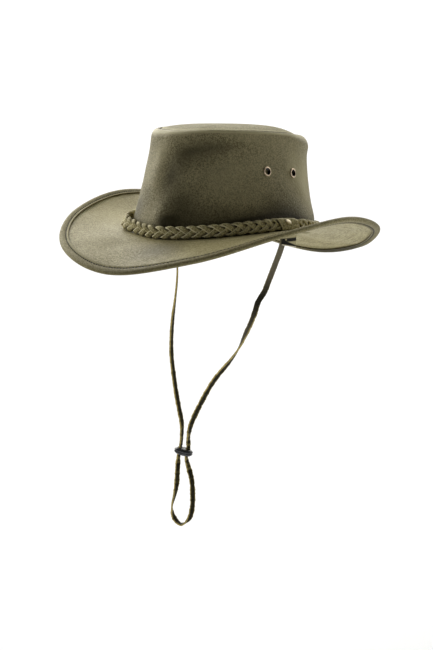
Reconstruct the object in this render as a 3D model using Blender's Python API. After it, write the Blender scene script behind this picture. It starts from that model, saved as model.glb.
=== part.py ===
"""A leather hat with a plaited band and a chin strap, in metres, +Z up.

The wearer looks along -Y and the wearer's left is +X. The origin is the middle of the head
opening, near the level of the brim there. An angle around the hat is measured in degrees
from the front, towards the wearer's left. Run it in Blender: it clears the scene and models
the hat, one object for each piece.
"""

import math
from collections import namedtuple

import bmesh
import bpy
from mathutils import Matrix, Vector

# Head opening, inside the crown: a size 58 head
HEAD_WIDTH = 0.164
HEAD_LENGTH = 0.202
FOOT_LEVEL = -0.0034
FOOT_ARCH = 0.005
FOOT_TILT = 0.005

# Crown: the height of its top seam, its leather and its rounded shoulder
CROWN_HEIGHT = 0.099
CROWN_LEATHER = 0.0018
SHOULDER_RADIUS = 0.011
TIP_DOME = 0.0055

# Brim: its width from the head opening to the edge, its leather and its bound edge
BRIM_WIDTH = 0.072
BRIM_LEATHER = 0.002
BRIM_CURL = 0.5
BINDING_WIDTH = 0.009
BINDING_LEATHER = 0.0008

# Plaited band and the loop that covers its joint
BAND_WIDTH = 0.0122
BAND_THICKNESS = 0.0055
PLAIT_PITCH = 0.0122
KEEPER_LENGTH = 0.025
KEEPER_FROM_MIDDLE = 0.009
KEEPER_LEATHER = 0.001
RIVET_DIAMETER = 0.0054
RIVET_HEIGHT = 0.0014

# Eyelets: two on each side, the front one a little higher
EYELET_DIAMETER = 0.0095
EYELET_BORE = 0.006
EYELET_WALL = 0.0005
EYELET_FLANGE = 0.0009
EYELET_SPACING = 0.0392
EYELET_FROM_MIDDLE = 0.0027
EYELET_HEIGHT = 0.0582
EYELET_DROP = 0.0031

# Small fabric tag in the head opening
TAG_WIDTH = 0.0245
TAG_DROP = 0.0132
TAG_TAIL = 0.004
TAG_THICKNESS = 0.0006
TAG_FROM_MIDDLE = 0.0035

# Chin strap and its slider
CORD_DIAMETER = 0.004
SLIDER_LENGTH = 0.021
SLIDER_DEPTH = 0.012
SLIDER_HEIGHT = 0.0076
SLIDER_GROOVE = 0.0011
SLIDER_HOLE_SPACING = 0.0088
SLIDER_SLACK = 0.0006
SLIDER_TURN = math.radians(30)
SLIDER_TILT = math.radians(11)
SLIDER_PLACE = Vector((-0.0457, -0.0080, -0.2546))

# The gap that neighbouring pieces keep
CLEARANCE = 0.0003

# Facets
SEGMENTS = 60
FACETS_PER_PLAIT = 3
EYELET_SIDES = 14
SLIDER_SIDES = 24

# Outer outline of the crown's wall. Height is a share of CROWN_HEIGHT, width and length are
# shares of the outline at the foot, set_back is a share of HEAD_LENGTH towards the back, and
# squareness is the exponent of the oval: 2 is an ellipse.
CrownSection = namedtuple("CrownSection", "height width length set_back squareness")
CROWN_SECTIONS = [
    CrownSection(0.00, 1.000, 1.000, 0.000, 2.00),
    CrownSection(0.08, 0.998, 0.998, 0.000, 2.00),
    CrownSection(0.25, 0.945, 0.945, 0.001, 2.08),
    CrownSection(0.41, 0.907, 0.907, 0.007, 2.15),
    CrownSection(0.57, 0.872, 0.872, 0.014, 2.20),
    CrownSection(0.72, 0.845, 0.845, 0.023, 2.25),
    CrownSection(0.88, 0.840, 0.846, 0.040, 2.25),
    CrownSection(1.00, 0.840, 0.846, 0.054, 2.25),
]

# The crown's top seam all round. Height is a share of CROWN_HEIGHT and shoulder a share of
# SHOULDER_RADIUS.
SeamSection = namedtuple("SeamSection", "angle height shoulder")
TOP_SEAM = [
    SeamSection(0, 0.98, 0.75),
    SeamSection(30, 0.995, 0.35),
    SeamSection(60, 0.99, 0.30),
    SeamSection(90, 0.965, 0.35),
    SeamSection(120, 0.93, 1.00),
    SeamSection(150, 0.935, 1.25),
    SeamSection(180, 0.955, 1.00),
    SeamSection(210, 0.975, 0.75),
    SeamSection(240, 0.995, 0.45),
    SeamSection(270, 1.00, 0.35),
    SeamSection(300, 0.99, 0.60),
    SeamSection(330, 0.98, 0.90),
]

# Soft dents in the crown's wall. Height and rise are shares of CROWN_HEIGHT, depth is a share
# of HEAD_WIDTH, and spread is in degrees to each side.
Dent = namedtuple("Dent", "angle height depth spread rise")
DENTS = [
    Dent(38, 0.74, 0.012, 26, 0.14),
    Dent(14, 0.30, 0.012, 9, 0.20),
    Dent(352, 0.20, -0.008, 9, 0.16),
    Dent(120, 0.72, 0.008, 16, 0.14),
    Dent(255, 0.55, 0.010, 22, 0.18),
]

# The edge of the brim all round. Reach is its distance from the head opening in plan, rise its
# height over the origin. Both are shares of BRIM_WIDTH.
BrimSection = namedtuple("BrimSection", "angle reach rise")
BRIM_SECTIONS = [
    BrimSection(0, 0.98, -0.42),
    BrimSection(30, 1.0, -0.205),
    BrimSection(60, 1.0, 0.16),
    BrimSection(90, 0.99, 0.28),
    BrimSection(120, 1.005, 0.06),
    BrimSection(150, 0.91, -0.353),
    BrimSection(180, 0.885, -0.59),
    BrimSection(210, 0.92, -0.364),
    BrimSection(240, 0.973, 0.165),
    BrimSection(270, 0.938, 0.36),
    BrimSection(300, 1.03, 0.122),
    BrimSection(330, 1.05, -0.21),
]

# Where the plaited band stands off the crown's wall. Slack is a share of BAND_THICKNESS and
# spread is in degrees to each side.
Slack = namedtuple("Slack", "angle slack spread")
BAND_SLACK = [
    Slack(305, 0.60, 26),
    Slack(150, 0.20, 30),
]

# The chin strap's route, from the wearer's left, where it is sewn inside the crown, down to the
# slider, round the loop under it, and from the slider up to the wearer's right
LEFT_LEG = [
    (0.0777, -0.0030, 0.0150),
    (0.0778, -0.0030, 0.0020),
    (0.0770, -0.0030, -0.0120),
    (0.0689, -0.0033, -0.0334),
    (0.0601, -0.0035, -0.0519),
    (0.0489, -0.0037, -0.0749),
    (0.0397, -0.0040, -0.0982),
    (0.0293, -0.0042, -0.1181),
    (0.0190, -0.0044, -0.1345),
    (0.0034, -0.0047, -0.1555),
    (-0.0106, -0.0049, -0.1750),
    (-0.0222, -0.0051, -0.1922),
    (-0.0308, -0.0053, -0.2089),
    (-0.0375, -0.0056, -0.2237),
    (-0.0405, -0.0058, -0.2373),
]
LOOP = [
    (-0.0405, -0.0048, -0.2732),
    (-0.0375, -0.0031, -0.2862),
    (-0.0362, -0.0025, -0.3018),
    (-0.0364, -0.0026, -0.3200),
    (-0.0396, -0.0044, -0.3338),
    (-0.0472, -0.0086, -0.3408),
    (-0.0543, -0.0127, -0.3335),
    (-0.0566, -0.0141, -0.3220),
    (-0.0538, -0.0125, -0.3058),
    (-0.0520, -0.0115, -0.2922),
    (-0.0514, -0.0111, -0.2764),
]
RIGHT_LEG = [
    (-0.0477, -0.0092, -0.2390),
    (-0.0487, -0.0080, -0.2230),
    (-0.0540, -0.0069, -0.2071),
    (-0.0595, -0.0057, -0.1908),
    (-0.0652, -0.0042, -0.1703),
    (-0.0700, -0.0026, -0.1498),
    (-0.0718, -0.0009, -0.1288),
    (-0.0715, 0.0008, -0.1074),
    (-0.0700, 0.0027, -0.0861),
    (-0.0694, 0.0045, -0.0669),
    (-0.0704, 0.0057, -0.0500),
    (-0.0735, 0.0052, -0.0300),
    (-0.0768, 0.0035, -0.0120),
    (-0.0778, 0.0030, 0.0020),
    (-0.0777, 0.0030, 0.0150),
]
CORD_STEP = 2.5 * CORD_DIAMETER


def clear_scene():
    for found in list(bpy.data.objects):
        bpy.data.objects.remove(found, do_unlink=True)


def finish(name, colour, roughness, metallic=0.0):
    made = bpy.data.materials.new(name)
    made.use_nodes = True
    shader = made.node_tree.nodes["Principled BSDF"]
    shader.inputs["Base Color"].default_value = (*colour, 1.0)
    shader.inputs["Roughness"].default_value = roughness
    shader.inputs["Metallic"].default_value = metallic
    return made


def curve_through(stations, values, place, period=None):
    """A cubic curve through values at their stations, closed where a period is given."""
    if period:
        stations = [stations[-1] - period, *stations, stations[0] + period, stations[1] + period]
        values = [values[-1], *values, values[0], values[1]]
        place = (place - stations[1]) % period + stations[1]
    place = min(max(place, stations[0]), stations[-1])
    last = len(stations) - 1
    low = max(k for k in range(last) if stations[k] <= place)

    def slope(k):
        before, after = max(k - 1, 0), min(k + 1, last)
        return (values[after] - values[before]) / (stations[after] - stations[before])

    step = stations[low + 1] - stations[low]
    t = (place - stations[low]) / step
    return (
        (2 * t**3 - 3 * t**2 + 1) * values[low]
        + (t**3 - 2 * t**2 + t) * step * slope(low)
        + (3 * t**2 - 2 * t**3) * values[low + 1]
        + (t**3 - t**2) * step * slope(low + 1)
    )


def column(rows, name, place, period=None):
    """The value of a table's column at a place between its rows."""
    stations = [row[0] for row in rows]
    return curve_through(stations, [getattr(row, name) for row in rows], place, period)


def oval(angle, half_width, half_length, squareness=2.0):
    """A point of an oval in plan: the front is -Y, the wearer's left is +X."""
    side, front = math.sin(math.radians(angle)), math.cos(math.radians(angle))
    size = (abs(side) ** squareness + abs(front) ** squareness) ** (-1 / squareness)
    return Vector((half_width * side * size, -half_length * front * size, 0))


def plan_normal(angle, half_width, half_length):
    """The direction square to an elliptical outline, pointing outwards."""
    side, front = math.sin(math.radians(angle)), math.cos(math.radians(angle))
    return Vector((side / half_width, -front / half_length, 0)).normalized()


def surface_normal(surface, angle, share):
    """Square to a surface: out of a wall that rises with share, under a brim that widens."""
    turn, step = 0.5, 0.004
    around = surface(angle + turn, share) - surface(angle - turn, share)
    along = surface(angle, share + step) - surface(angle, share - step)
    return around.cross(along).normalized()


def foot_line(angle):
    """The height of the brim's top where the crown stands on it."""
    turn = math.radians(angle)
    return FOOT_LEVEL + FOOT_TILT * math.cos(turn) - FOOT_ARCH * math.cos(2 * turn)


def brim_reach(angle):
    return BRIM_WIDTH * column(BRIM_SECTIONS, "reach", angle, 360)


def brim_middle(angle, share):
    """The middle of the brim's leather, from the head opening at 0 to the bound edge at 1."""
    opening = oval(angle, HEAD_WIDTH / 2, HEAD_LENGTH / 2)
    out = plan_normal(angle, HEAD_WIDTH / 2, HEAD_LENGTH / 2)
    low = foot_line(angle) - BRIM_LEATHER / 2
    high = BRIM_WIDTH * column(BRIM_SECTIONS, "rise", angle, 360)
    bend = (1 - BRIM_CURL) * share + BRIM_CURL * share * abs(share)
    return opening + out * brim_reach(angle) * share + Vector((0, 0, low + (high - low) * bend))


def brim_layer(angle, share, offset):
    """A point over the middle of the brim's leather, square to it."""
    return brim_middle(angle, share) - surface_normal(brim_middle, angle, share) * offset


def brim_top_height(angle, distance):
    """The height of the brim's top at a distance from the head opening."""
    return brim_layer(angle, distance / brim_reach(angle), BRIM_LEATHER / 2).z


def crown_outline(angle, height):
    """The outer face of the crown's wall at a height, with its dents."""
    share = height / CROWN_HEIGHT
    half_width = (HEAD_WIDTH / 2 + CROWN_LEATHER) * column(CROWN_SECTIONS, "width", share)
    half_length = (HEAD_LENGTH / 2 + CROWN_LEATHER) * column(CROWN_SECTIONS, "length", share)
    squareness = column(CROWN_SECTIONS, "squareness", share)
    place = oval(angle, half_width, half_length, squareness)
    place.y += HEAD_LENGTH * column(CROWN_SECTIONS, "set_back", share)
    place.z = height
    for dent in DENTS:
        around = ((angle - dent.angle + 180) % 360 - 180) / dent.spread
        up = (share - dent.height) / dent.rise
        depth = HEAD_WIDTH * dent.depth * math.exp(-(around**2) - up**2)
        place -= plan_normal(angle, half_width, half_length) * depth
    return place


def crown_surface(angle, share):
    """The crown's outer face: the wall from 0 to 1, then the rounded shoulder from 1 to 2."""
    radius = SHOULDER_RADIUS * column(TOP_SEAM, "shoulder", angle, 360)
    low = brim_top_height(angle, CROWN_LEATHER) + CLEARANCE
    high = CROWN_HEIGHT * column(TOP_SEAM, "height", angle, 360) - radius
    if share <= 1:
        return crown_outline(angle, low + (high - low) * share)
    place = crown_outline(angle, high)
    turn = math.radians(90 * min(share - 1, 1))
    inwards = -plan_normal(angle, HEAD_WIDTH / 2, HEAD_LENGTH / 2)
    return place + inwards * radius * (1 - math.cos(turn)) + Vector((0, 0, radius * math.sin(turn)))


def crown_inside(angle, share):
    """The inner face of the crown's leather, level with crown_surface."""
    if share >= 2:
        return crown_surface(angle, 2) - Vector((0, 0, CROWN_LEATHER))
    if share <= 0:
        place = oval(angle, HEAD_WIDTH / 2, HEAD_LENGTH / 2)
        place.z = brim_top_height(angle, 0) + CLEARANCE
        return place
    return crown_surface(angle, share) - surface_normal(crown_surface, angle, share) * CROWN_LEATHER


def angles(count):
    return [360 * k / count for k in range(count)]


def add_object(name, mesh, material, sharp=30):
    mesh.materials.append(material)
    mesh.shade_smooth()
    mesh.set_sharp_from_angle(angle=math.radians(sharp))
    made = bpy.data.objects.new(name, mesh)
    bpy.context.scene.collection.objects.link(made)
    return made


def solid_of_rings(name, rings, material, closed=True):
    """A closed solid from rings of points. An open one ends in flat caps."""
    shape = bmesh.new()
    points = [[shape.verts.new(place) for place in ring] for ring in rings]
    pairs = list(zip(points, points[1:]))
    if closed:
        pairs.append((points[-1], points[0]))
    else:
        shape.faces.new(points[0])
        shape.faces.new(points[-1])
    count = len(rings[0])
    for lower, upper in pairs:
        for k in range(count):
            after = (k + 1) % count
            shape.faces.new((lower[k], lower[after], upper[after], upper[k]))
    bmesh.ops.recalc_face_normals(shape, faces=shape.faces)
    if shape.calc_volume(signed=True) < 0:
        bmesh.ops.reverse_faces(shape, faces=shape.faces)
    mesh = bpy.data.meshes.new(name)
    shape.to_mesh(mesh)
    shape.free()
    return add_object(name, mesh, material)


def turned_solid(name, profile, sides, material, hollow=True):
    """A profile of (radius, height) turned round Z, a ring where hollow, else a closed dome."""
    rings = []
    for radius, height in profile:
        turns = [2 * math.pi * k / sides for k in range(sides)]
        rings.append([(radius * math.cos(t), radius * math.sin(t), height) for t in turns])
    return solid_of_rings(name, rings, material, closed=hollow)


def stand_on(made, place, normal):
    """Puts an object at a place with its own Z along a direction."""
    made.matrix_world = Matrix.Translation(place) @ normal.to_track_quat("Z", "Y").to_matrix().to_4x4()


def cut(made, cutter):
    cutter.hide_render = True
    cutter.display_type = "WIRE"
    modifier = made.modifiers.new(cutter.name, "BOOLEAN")
    modifier.operation = "DIFFERENCE"
    modifier.object = cutter


def make_brim(leather):
    bound_from = 1 - BINDING_WIDTH / BRIM_WIDTH
    edge = 1 - (BINDING_LEATHER + CLEARANCE) / BRIM_WIDTH
    shares = [0, 0.12, 0.3, 0.5, 0.7, bound_from, edge]
    half = BRIM_LEATHER / 2
    rings = [[brim_layer(a, share, half) for a in angles(SEGMENTS)] for share in shares]
    rings += [[brim_layer(a, share, -half) for a in angles(SEGMENTS)] for share in reversed(shares)]
    # The face round the head opening stands upright under the crown's inner face.
    for k, a in enumerate(angles(SEGMENTS)):
        opening = oval(a, HEAD_WIDTH / 2, HEAD_LENGTH / 2)
        for ring in (rings[0], rings[-1]):
            ring[k] = Vector((opening.x, opening.y, ring[k].z))
    return solid_of_rings("brim", rings, leather)


def make_binding(leather):
    """A strip folded round the edge: its outer face out and back, then its inner face."""
    bound_from = 1 - BINDING_WIDTH / BRIM_WIDTH
    # Where the brim twists, the facets of the two pieces come a little nearer to each other.
    inner = BRIM_LEATHER / 2 + 1.5 * CLEARANCE
    outer = inner + BINDING_LEATHER
    fold = 1 - BINDING_LEATHER / BRIM_WIDTH
    shoulder = 1 - outer / 2 / BRIM_WIDTH
    lines = [(bound_from, outer), (shoulder, outer), (1, outer / 2), (1, -outer / 2)]
    lines += [(shoulder, -outer), (bound_from, -outer), (bound_from, -inner), (fold, -inner)]
    lines += [(fold, inner), (bound_from, inner)]
    rings = [[brim_layer(a, share, offset) for a in angles(SEGMENTS)] for share, offset in lines]
    return solid_of_rings("brim_binding", rings, leather)


def make_crown_side(leather, holes):
    outer = [0, 0.13, 0.28, 0.43, 0.58, 0.73, 0.87, 1, 1.33, 1.67, 2]
    inner = [2, 1.5, 1, 0.8, 0.58, 0.3, 0.13, 0]
    rings = [[crown_surface(a, share) for a in angles(SEGMENTS)] for share in outer]
    rings += [[crown_inside(a, share) for a in angles(SEGMENTS)] for share in inner]
    side = solid_of_rings("crown_side", rings, leather)
    for hole in holes:
        cut(side, hole)
    return side


def make_crown_tip(leather):
    """The oval top panel, which lies inside the shoulder's edge and rises to a low dome."""
    seam = [crown_surface(a, 2) for a in angles(SEGMENTS)]
    middle = sum(seam, Vector()) / SEGMENTS + Vector((0, 0, TIP_DOME))
    edge = []
    for a, place in zip(angles(SEGMENTS), seam):
        inwards = -plan_normal(a, HEAD_WIDTH / 2, HEAD_LENGTH / 2)
        edge.append(place + inwards * CLEARANCE)
    rings = []
    for below, shares in ((0, [0.25, 0.55, 0.82, 1]), (CROWN_LEATHER, [1, 0.6, 0.25])):
        for share in shares:
            ring = []
            for place in edge:
                flat = middle.lerp(place, share)
                height = middle.z + (place.z - middle.z) * share**2 - below
                ring.append(Vector((flat.x, flat.y, height)))
            rings.append(ring)
    return solid_of_rings("crown_tip", rings, leather, closed=False)


def band_frame(angle, depth):
    """Where the band lies: a place on the wall, with the directions out of it and up it."""
    lift = max(brim_top_height(angle, CROWN_LEATHER), brim_top_height(angle, CROWN_LEATHER + depth))
    height = lift + CLEARANCE + BAND_WIDTH / 2
    place = crown_outline(angle, height)
    above = crown_outline(angle, height + BAND_WIDTH / 4)
    below = crown_outline(angle, height - BAND_WIDTH / 4)
    up = (above - below).normalized()
    around = crown_outline(angle + 1, height) - crown_outline(angle - 1, height)
    out = around.cross(up).normalized()
    for row in BAND_SLACK:
        away = ((angle - row.angle + 180) % 360 - 180) / row.spread
        place = place + out * BAND_THICKNESS * row.slack * math.exp(-(away**2))
    return place, out, up


def keeper_angle():
    """The angle round the hat at the middle of the keeper, on the wearer's left."""
    return math.degrees(math.acos(KEEPER_FROM_MIDDLE / (HEAD_LENGTH / 2)))


def keeper_squeeze(angle):
    """1 where the keeper holds the plait, falling to 0 just outside it."""
    away = abs(math.radians(angle - keeper_angle())) * HEAD_LENGTH / 2
    free = (away - KEEPER_LENGTH / 2 - CLEARANCE) / (BAND_THICKNESS / 2)
    free = min(max(free, 0), 1)
    return 1 - free * free * (3 - 2 * free)


def keeper_hold():
    """Depth and height of the plait inside the keeper, then its distance from the wall."""
    depth = BAND_THICKNESS - 2 * KEEPER_LEATHER
    height = BAND_WIDTH - 2 * KEEPER_LEATHER - 2 * CLEARANCE
    return depth, height, KEEPER_LEATHER + 2 * CLEARANCE


def make_band(leather):
    """One ring with the relief of a flat plait of three laces: loops along both edges, and
    chevrons between them that point from the front to the wearer's left."""
    inside = math.pi * (HEAD_WIDTH + HEAD_LENGTH) / 2
    plaits = 3 * round(inside / PLAIT_PITCH / 3)
    held_depth, held_height, held_off = keeper_hold()
    profile = [0, 35, 70, 110, 145, 180, 225, 315]
    rings = []
    for a in angles(plaits * FACETS_PER_PLAIT):
        place, out, up = band_frame(a, BAND_THICKNESS)
        squeeze = keeper_squeeze(a)
        ring = []
        for turn in profile:
            across, proud = math.cos(math.radians(turn)), math.sin(math.radians(turn))
            beat = plaits * a / 360 - 0.5 * abs(across) + (0.5 if across > 0 else 0)
            loop = abs(math.sin(math.pi * beat)) * (1 - squeeze)
            half_height = BAND_WIDTH / 2 * (0.84 + 0.16 * loop)
            half_depth = BAND_THICKNESS / 2 * (0.72 + 0.28 * loop)
            half_height += (held_height / 2 - half_height) * squeeze
            half_depth += (held_depth / 2 - half_depth) * squeeze
            off = CLEARANCE + (held_off - CLEARANCE) * squeeze
            depth = BAND_THICKNESS + (held_depth - BAND_THICKNESS) * squeeze
            centre = place + out * (off + depth / 2)
            ring.append(centre + up * half_height * across + out * half_depth * proud)
        rings.append(ring)
    return solid_of_rings("hat_band", rings, leather)


def make_keeper(leather):
    """A leather loop round the joint of the plait: its outer face along, its inner face back."""
    held_depth, held_height, held_off = keeper_hold()
    half_turn = math.degrees(KEEPER_LENGTH / HEAD_LENGTH)
    stations = [keeper_angle() + half_turn * share for share in (-1, -0.5, 0, 0.5, 1)]

    def loop_round(angle, thickness):
        place, out, up = band_frame(angle, BAND_THICKNESS)
        centre = place + out * (held_off + held_depth / 2)
        tall, deep = held_height / 2 + thickness, held_depth / 2 + thickness
        corner = min(tall, deep) / 2
        corners = []
        for upwards, outwards in ((1, 1), (1, -1), (-1, -1), (-1, 1)):
            pair = [(tall - corner, deep), (tall, deep - corner)]
            if upwards * outwards < 0:
                pair.reverse()
            corners += [centre + up * upwards * x + out * outwards * y for x, y in pair]
        return corners

    rings = [loop_round(a, CLEARANCE + KEEPER_LEATHER) for a in stations]
    rings += [loop_round(a, CLEARANCE) for a in reversed(stations)]
    return solid_of_rings("band_keeper", rings, leather)


def make_rivet(metal):
    radius = RIVET_DIAMETER / 2
    profile = [(radius * 0.96, 0), (radius, RIVET_HEIGHT * 0.25), (radius * 0.86, RIVET_HEIGHT * 0.62)]
    profile += [(radius * 0.55, RIVET_HEIGHT * 0.9), (radius * 0.2, RIVET_HEIGHT)]
    rivet = turned_solid("keeper_rivet", profile, EYELET_SIDES, metal, hollow=False)
    held_depth, held_height, held_off = keeper_hold()
    place, out, up = band_frame(keeper_angle() + 1, BAND_THICKNESS)
    face = held_off + held_depth + 2 * CLEARANCE + KEEPER_LEATHER
    stand_on(rivet, place + out * face + up * BAND_WIDTH * 0.15, out)
    return rivet


def eyelet_places():
    """Name, place on the wall's outer face and direction of each eyelet."""
    places = []
    for side, sign in (("left", 1), ("right", -1)):
        for end, share in (("front", -0.5), ("back", 0.5)):
            height = EYELET_HEIGHT - EYELET_DROP * share
            aim = EYELET_SPACING * share - EYELET_FROM_MIDDLE
            low, high = 20.0, 160.0
            while high - low > 0.001:
                middle = (low + high) / 2
                if crown_outline(sign * middle, height).y < aim:
                    low = middle
                else:
                    high = middle
            angle = sign * low
            around = crown_outline(angle + 1, height) - crown_outline(angle - 1, height)
            above = crown_outline(angle, height + EYELET_BORE / 4)
            out = around.cross(above - crown_outline(angle, height)).normalized()
            places.append((f"eyelet_{side}_{end}", crown_outline(angle, height), out))
    return places


def make_eyelets(metal, leather):
    """The metal eyelets, and the cutters of the holes that they sit in."""
    bore, barrel = EYELET_BORE / 2, EYELET_BORE / 2 + EYELET_WALL
    rim, back_rim = EYELET_DIAMETER / 2, EYELET_DIAMETER * 0.45
    front = CLEARANCE
    back = -CROWN_LEATHER - 2 * CLEARANCE
    profile = [
        (bore, back - EYELET_FLANGE / 2),
        (back_rim, back - EYELET_FLANGE / 2),
        (back_rim, back),
        (barrel, back),
        (barrel, front),
        (rim, front),
        (rim, front + EYELET_FLANGE * 0.45),
        ((rim + bore) / 2, front + EYELET_FLANGE),
        (bore, front + EYELET_FLANGE * 0.5),
    ]
    hole = [(barrel + CLEARANCE, -4 * CROWN_LEATHER), (barrel + CLEARANCE, 4 * CROWN_LEATHER)]
    cutters = []
    for name, place, out in eyelet_places():
        stand_on(turned_solid(name, profile, EYELET_SIDES, metal), place, out)
        cutter = turned_solid(f"hole_of_{name}", hole, EYELET_SIDES, leather, hollow=False)
        stand_on(cutter, place, out)
        cutters.append(cutter)
    return cutters


def make_tag(fabric):
    """A small strip against the inside of the wall that hangs out of the head opening."""
    middle = 90 + math.degrees(TAG_FROM_MIDDLE / (HEAD_LENGTH / 2))
    half_turn = math.degrees(TAG_WIDTH / HEAD_LENGTH)
    stations = [middle + half_turn * share for share in (-1, -0.5, 0, 0.5, 1)]
    heights = [TAG_TAIL, 0, -TAG_DROP / 2, -TAG_DROP]

    def line(inset, angle):
        out = plan_normal(angle, HEAD_WIDTH / 2, HEAD_LENGTH / 2)
        place = oval(angle, HEAD_WIDTH / 2, HEAD_LENGTH / 2) - out * inset
        return [Vector((place.x, place.y, height)) for height in heights]

    # A chord of the wall's facets lies inside the oval, so the strip keeps clear of it too.
    near = 2 * CLEARANCE
    rings = []
    for angle in stations:
        rings.append(line(near, angle) + line(near + TAG_THICKNESS, angle)[::-1])
    return solid_of_rings("size_tag", rings, fabric, closed=False)


def slider_frame():
    """The slider's place and turn: its length lies across the strap, one end a little up."""
    turn = Matrix.Rotation(SLIDER_TURN, 4, "Z") @ Matrix.Rotation(SLIDER_TILT, 4, "Y")
    return Matrix.Translation(SLIDER_PLACE) @ turn


def make_slider(plastic):
    """An oval button with a groove round its waist and two holes for the strap."""
    half = SLIDER_HEIGHT / 2
    profile = [(-1, 0.80), (-0.78, 0.96), (-0.3, 1.0), (-0.12, None), (0.12, None)]
    profile += [(0.3, 1.0), (0.78, 0.96), (1, 0.80)]
    rings = []
    for height, share in profile:
        length, depth = SLIDER_LENGTH / 2, SLIDER_DEPTH / 2
        if share is None:
            length, depth = length - SLIDER_GROOVE, depth - SLIDER_GROOVE
        else:
            length, depth = length - (1 - share) * half, depth - (1 - share) * half
        ring = [oval(a, length, depth, 2.4) for a in angles(SLIDER_SIDES)]
        rings.append([Vector((place.x, place.y, height * half)) for place in ring])
    slider = solid_of_rings("cord_slider", rings, plastic, closed=False)
    slider.matrix_world = slider_frame()
    radius = CORD_DIAMETER / 2 + SLIDER_SLACK
    hole = [(radius, -SLIDER_HEIGHT), (radius, SLIDER_HEIGHT)]
    for side, sign in (("left", 1), ("right", -1)):
        cutter = turned_solid(f"slider_hole_{side}", hole, EYELET_SIDES, plastic, hollow=False)
        offset = Matrix.Translation((sign * SLIDER_HOLE_SPACING / 2, 0, 0))
        cutter.matrix_world = slider_frame() @ offset
        cut(slider, cutter)
    return slider


def cord_route():
    """The whole route: down the left leg, through the slider, round the loop and back up."""

    def through_slider(sign, directions):
        return [
            slider_frame() @ Vector((sign * SLIDER_HOLE_SPACING / 2, 0, up * SLIDER_HEIGHT * 0.75))
            for up in directions
        ]

    route = [Vector(place) for place in LEFT_LEG] + through_slider(1, (1, -1))
    route += [Vector(place) for place in LOOP] + through_slider(-1, (-1, 1))
    return route + [Vector(place) for place in RIGHT_LEG]


def even_points(route, step):
    """Points at even steps along a smooth curve through the route."""
    reached = [0.0]
    for before, after in zip(route, route[1:]):
        reached.append(reached[-1] + (after - before).length)
    count = round(reached[-1] / step)
    points = []
    for k in range(count + 1):
        place = reached[-1] * k / count
        points.append([curve_through(reached, [p[axis] for p in route], place) for axis in range(3)])
    return points


def make_cord(leather):
    points = even_points(cord_route(), CORD_STEP)
    line = bpy.data.curves.new("chin_cord", "CURVE")
    line.dimensions = "3D"
    spline = line.splines.new("POLY")
    spline.points.add(len(points) - 1)
    for point, place in zip(spline.points, points):
        point.co = (*place, 1)
    line.bevel_depth = CORD_DIAMETER / 2
    line.bevel_resolution = 2
    line.use_fill_caps = True
    line.materials.append(leather)
    cord = bpy.data.objects.new("chin_cord", line)
    bpy.context.scene.collection.objects.link(cord)
    return cord


clear_scene()
crown_leather = finish("crown_leather", (0.115, 0.105, 0.062), 0.62)
brim_leather = finish("brim_leather", (0.170, 0.155, 0.098), 0.60)
binding_leather = finish("binding_leather", (0.110, 0.100, 0.062), 0.55)
band_leather = finish("band_leather", (0.120, 0.105, 0.058), 0.58)
strap_leather = finish("strap_leather", (0.090, 0.075, 0.038), 0.60)
tag_fabric = finish("tag_fabric", (0.018, 0.018, 0.014), 0.80)
copper = finish("copper", (0.420, 0.235, 0.130), 0.35, 1.0)
brass = finish("brass", (0.620, 0.540, 0.380), 0.32, 1.0)
black_plastic = finish("black_plastic", (0.030, 0.032, 0.034), 0.38)

make_brim(brim_leather)
make_binding(binding_leather)
make_crown_side(crown_leather, make_eyelets(copper, crown_leather))
make_crown_tip(crown_leather)
make_band(band_leather)
make_keeper(band_leather)
make_rivet(brass)
make_tag(tag_fabric)
make_cord(strap_leather)
make_slider(black_plastic)
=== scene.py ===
"""The looks of an olive leather hat with a plaited band, a bound brim and a chin strap.

The hat's frame: the wearer looks along -Y, the wearer's left is +X, +Z is up, and the origin is
the middle of the head opening. An angle round the hat is in degrees from the front, towards the
wearer's left. Metres throughout.
"""

import math
from collections import namedtuple

import bmesh
import bpy
import numpy as np
from mathutils import Matrix, Vector


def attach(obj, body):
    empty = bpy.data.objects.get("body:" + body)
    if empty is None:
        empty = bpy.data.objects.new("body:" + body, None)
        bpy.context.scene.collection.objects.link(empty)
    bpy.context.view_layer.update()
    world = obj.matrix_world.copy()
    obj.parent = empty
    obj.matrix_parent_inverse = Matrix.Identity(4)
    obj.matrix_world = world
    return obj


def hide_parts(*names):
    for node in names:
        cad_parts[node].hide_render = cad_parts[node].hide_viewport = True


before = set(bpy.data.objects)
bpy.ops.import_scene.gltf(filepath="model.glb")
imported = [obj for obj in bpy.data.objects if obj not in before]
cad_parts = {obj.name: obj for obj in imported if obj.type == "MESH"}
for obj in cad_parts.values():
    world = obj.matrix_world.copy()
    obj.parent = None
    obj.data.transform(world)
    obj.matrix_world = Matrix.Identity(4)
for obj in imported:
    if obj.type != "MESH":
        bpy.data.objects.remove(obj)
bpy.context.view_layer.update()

# Crown wall
# One panel of oiled cowhide, cut to a curve and closed into an oval tube, so that it leans in and
# back towards the top. It was steamed soft on a block, which left shallow dents, and its upper
# edge is turned inwards for the seam with the top panel. Four holes are punched for the eyelets.
HEAD_WIDTH = 0.164
HEAD_LENGTH = 0.202
FOOT_LEVEL = -0.0034
FOOT_ARCH = 0.005
FOOT_TILT = 0.005
CROWN_HEIGHT = 0.099
CROWN_LEATHER = 0.0018
SHOULDER_RADIUS = 0.011
SEAM_ROLL = 0.0018
CROWN_SUNK = 0.0004
CLEARANCE = 0.0003
AROUND = 300
# How pale the crest is with its painted highlight, and how much painted shade lies at the foot, in the
# seam and inside.
CREST_PALE_AND_LIT = 1.40
FOOT_SHADE = 0.45
SEAM_SHADE = 0.4
INSIDE_SHADE = 0.6

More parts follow.
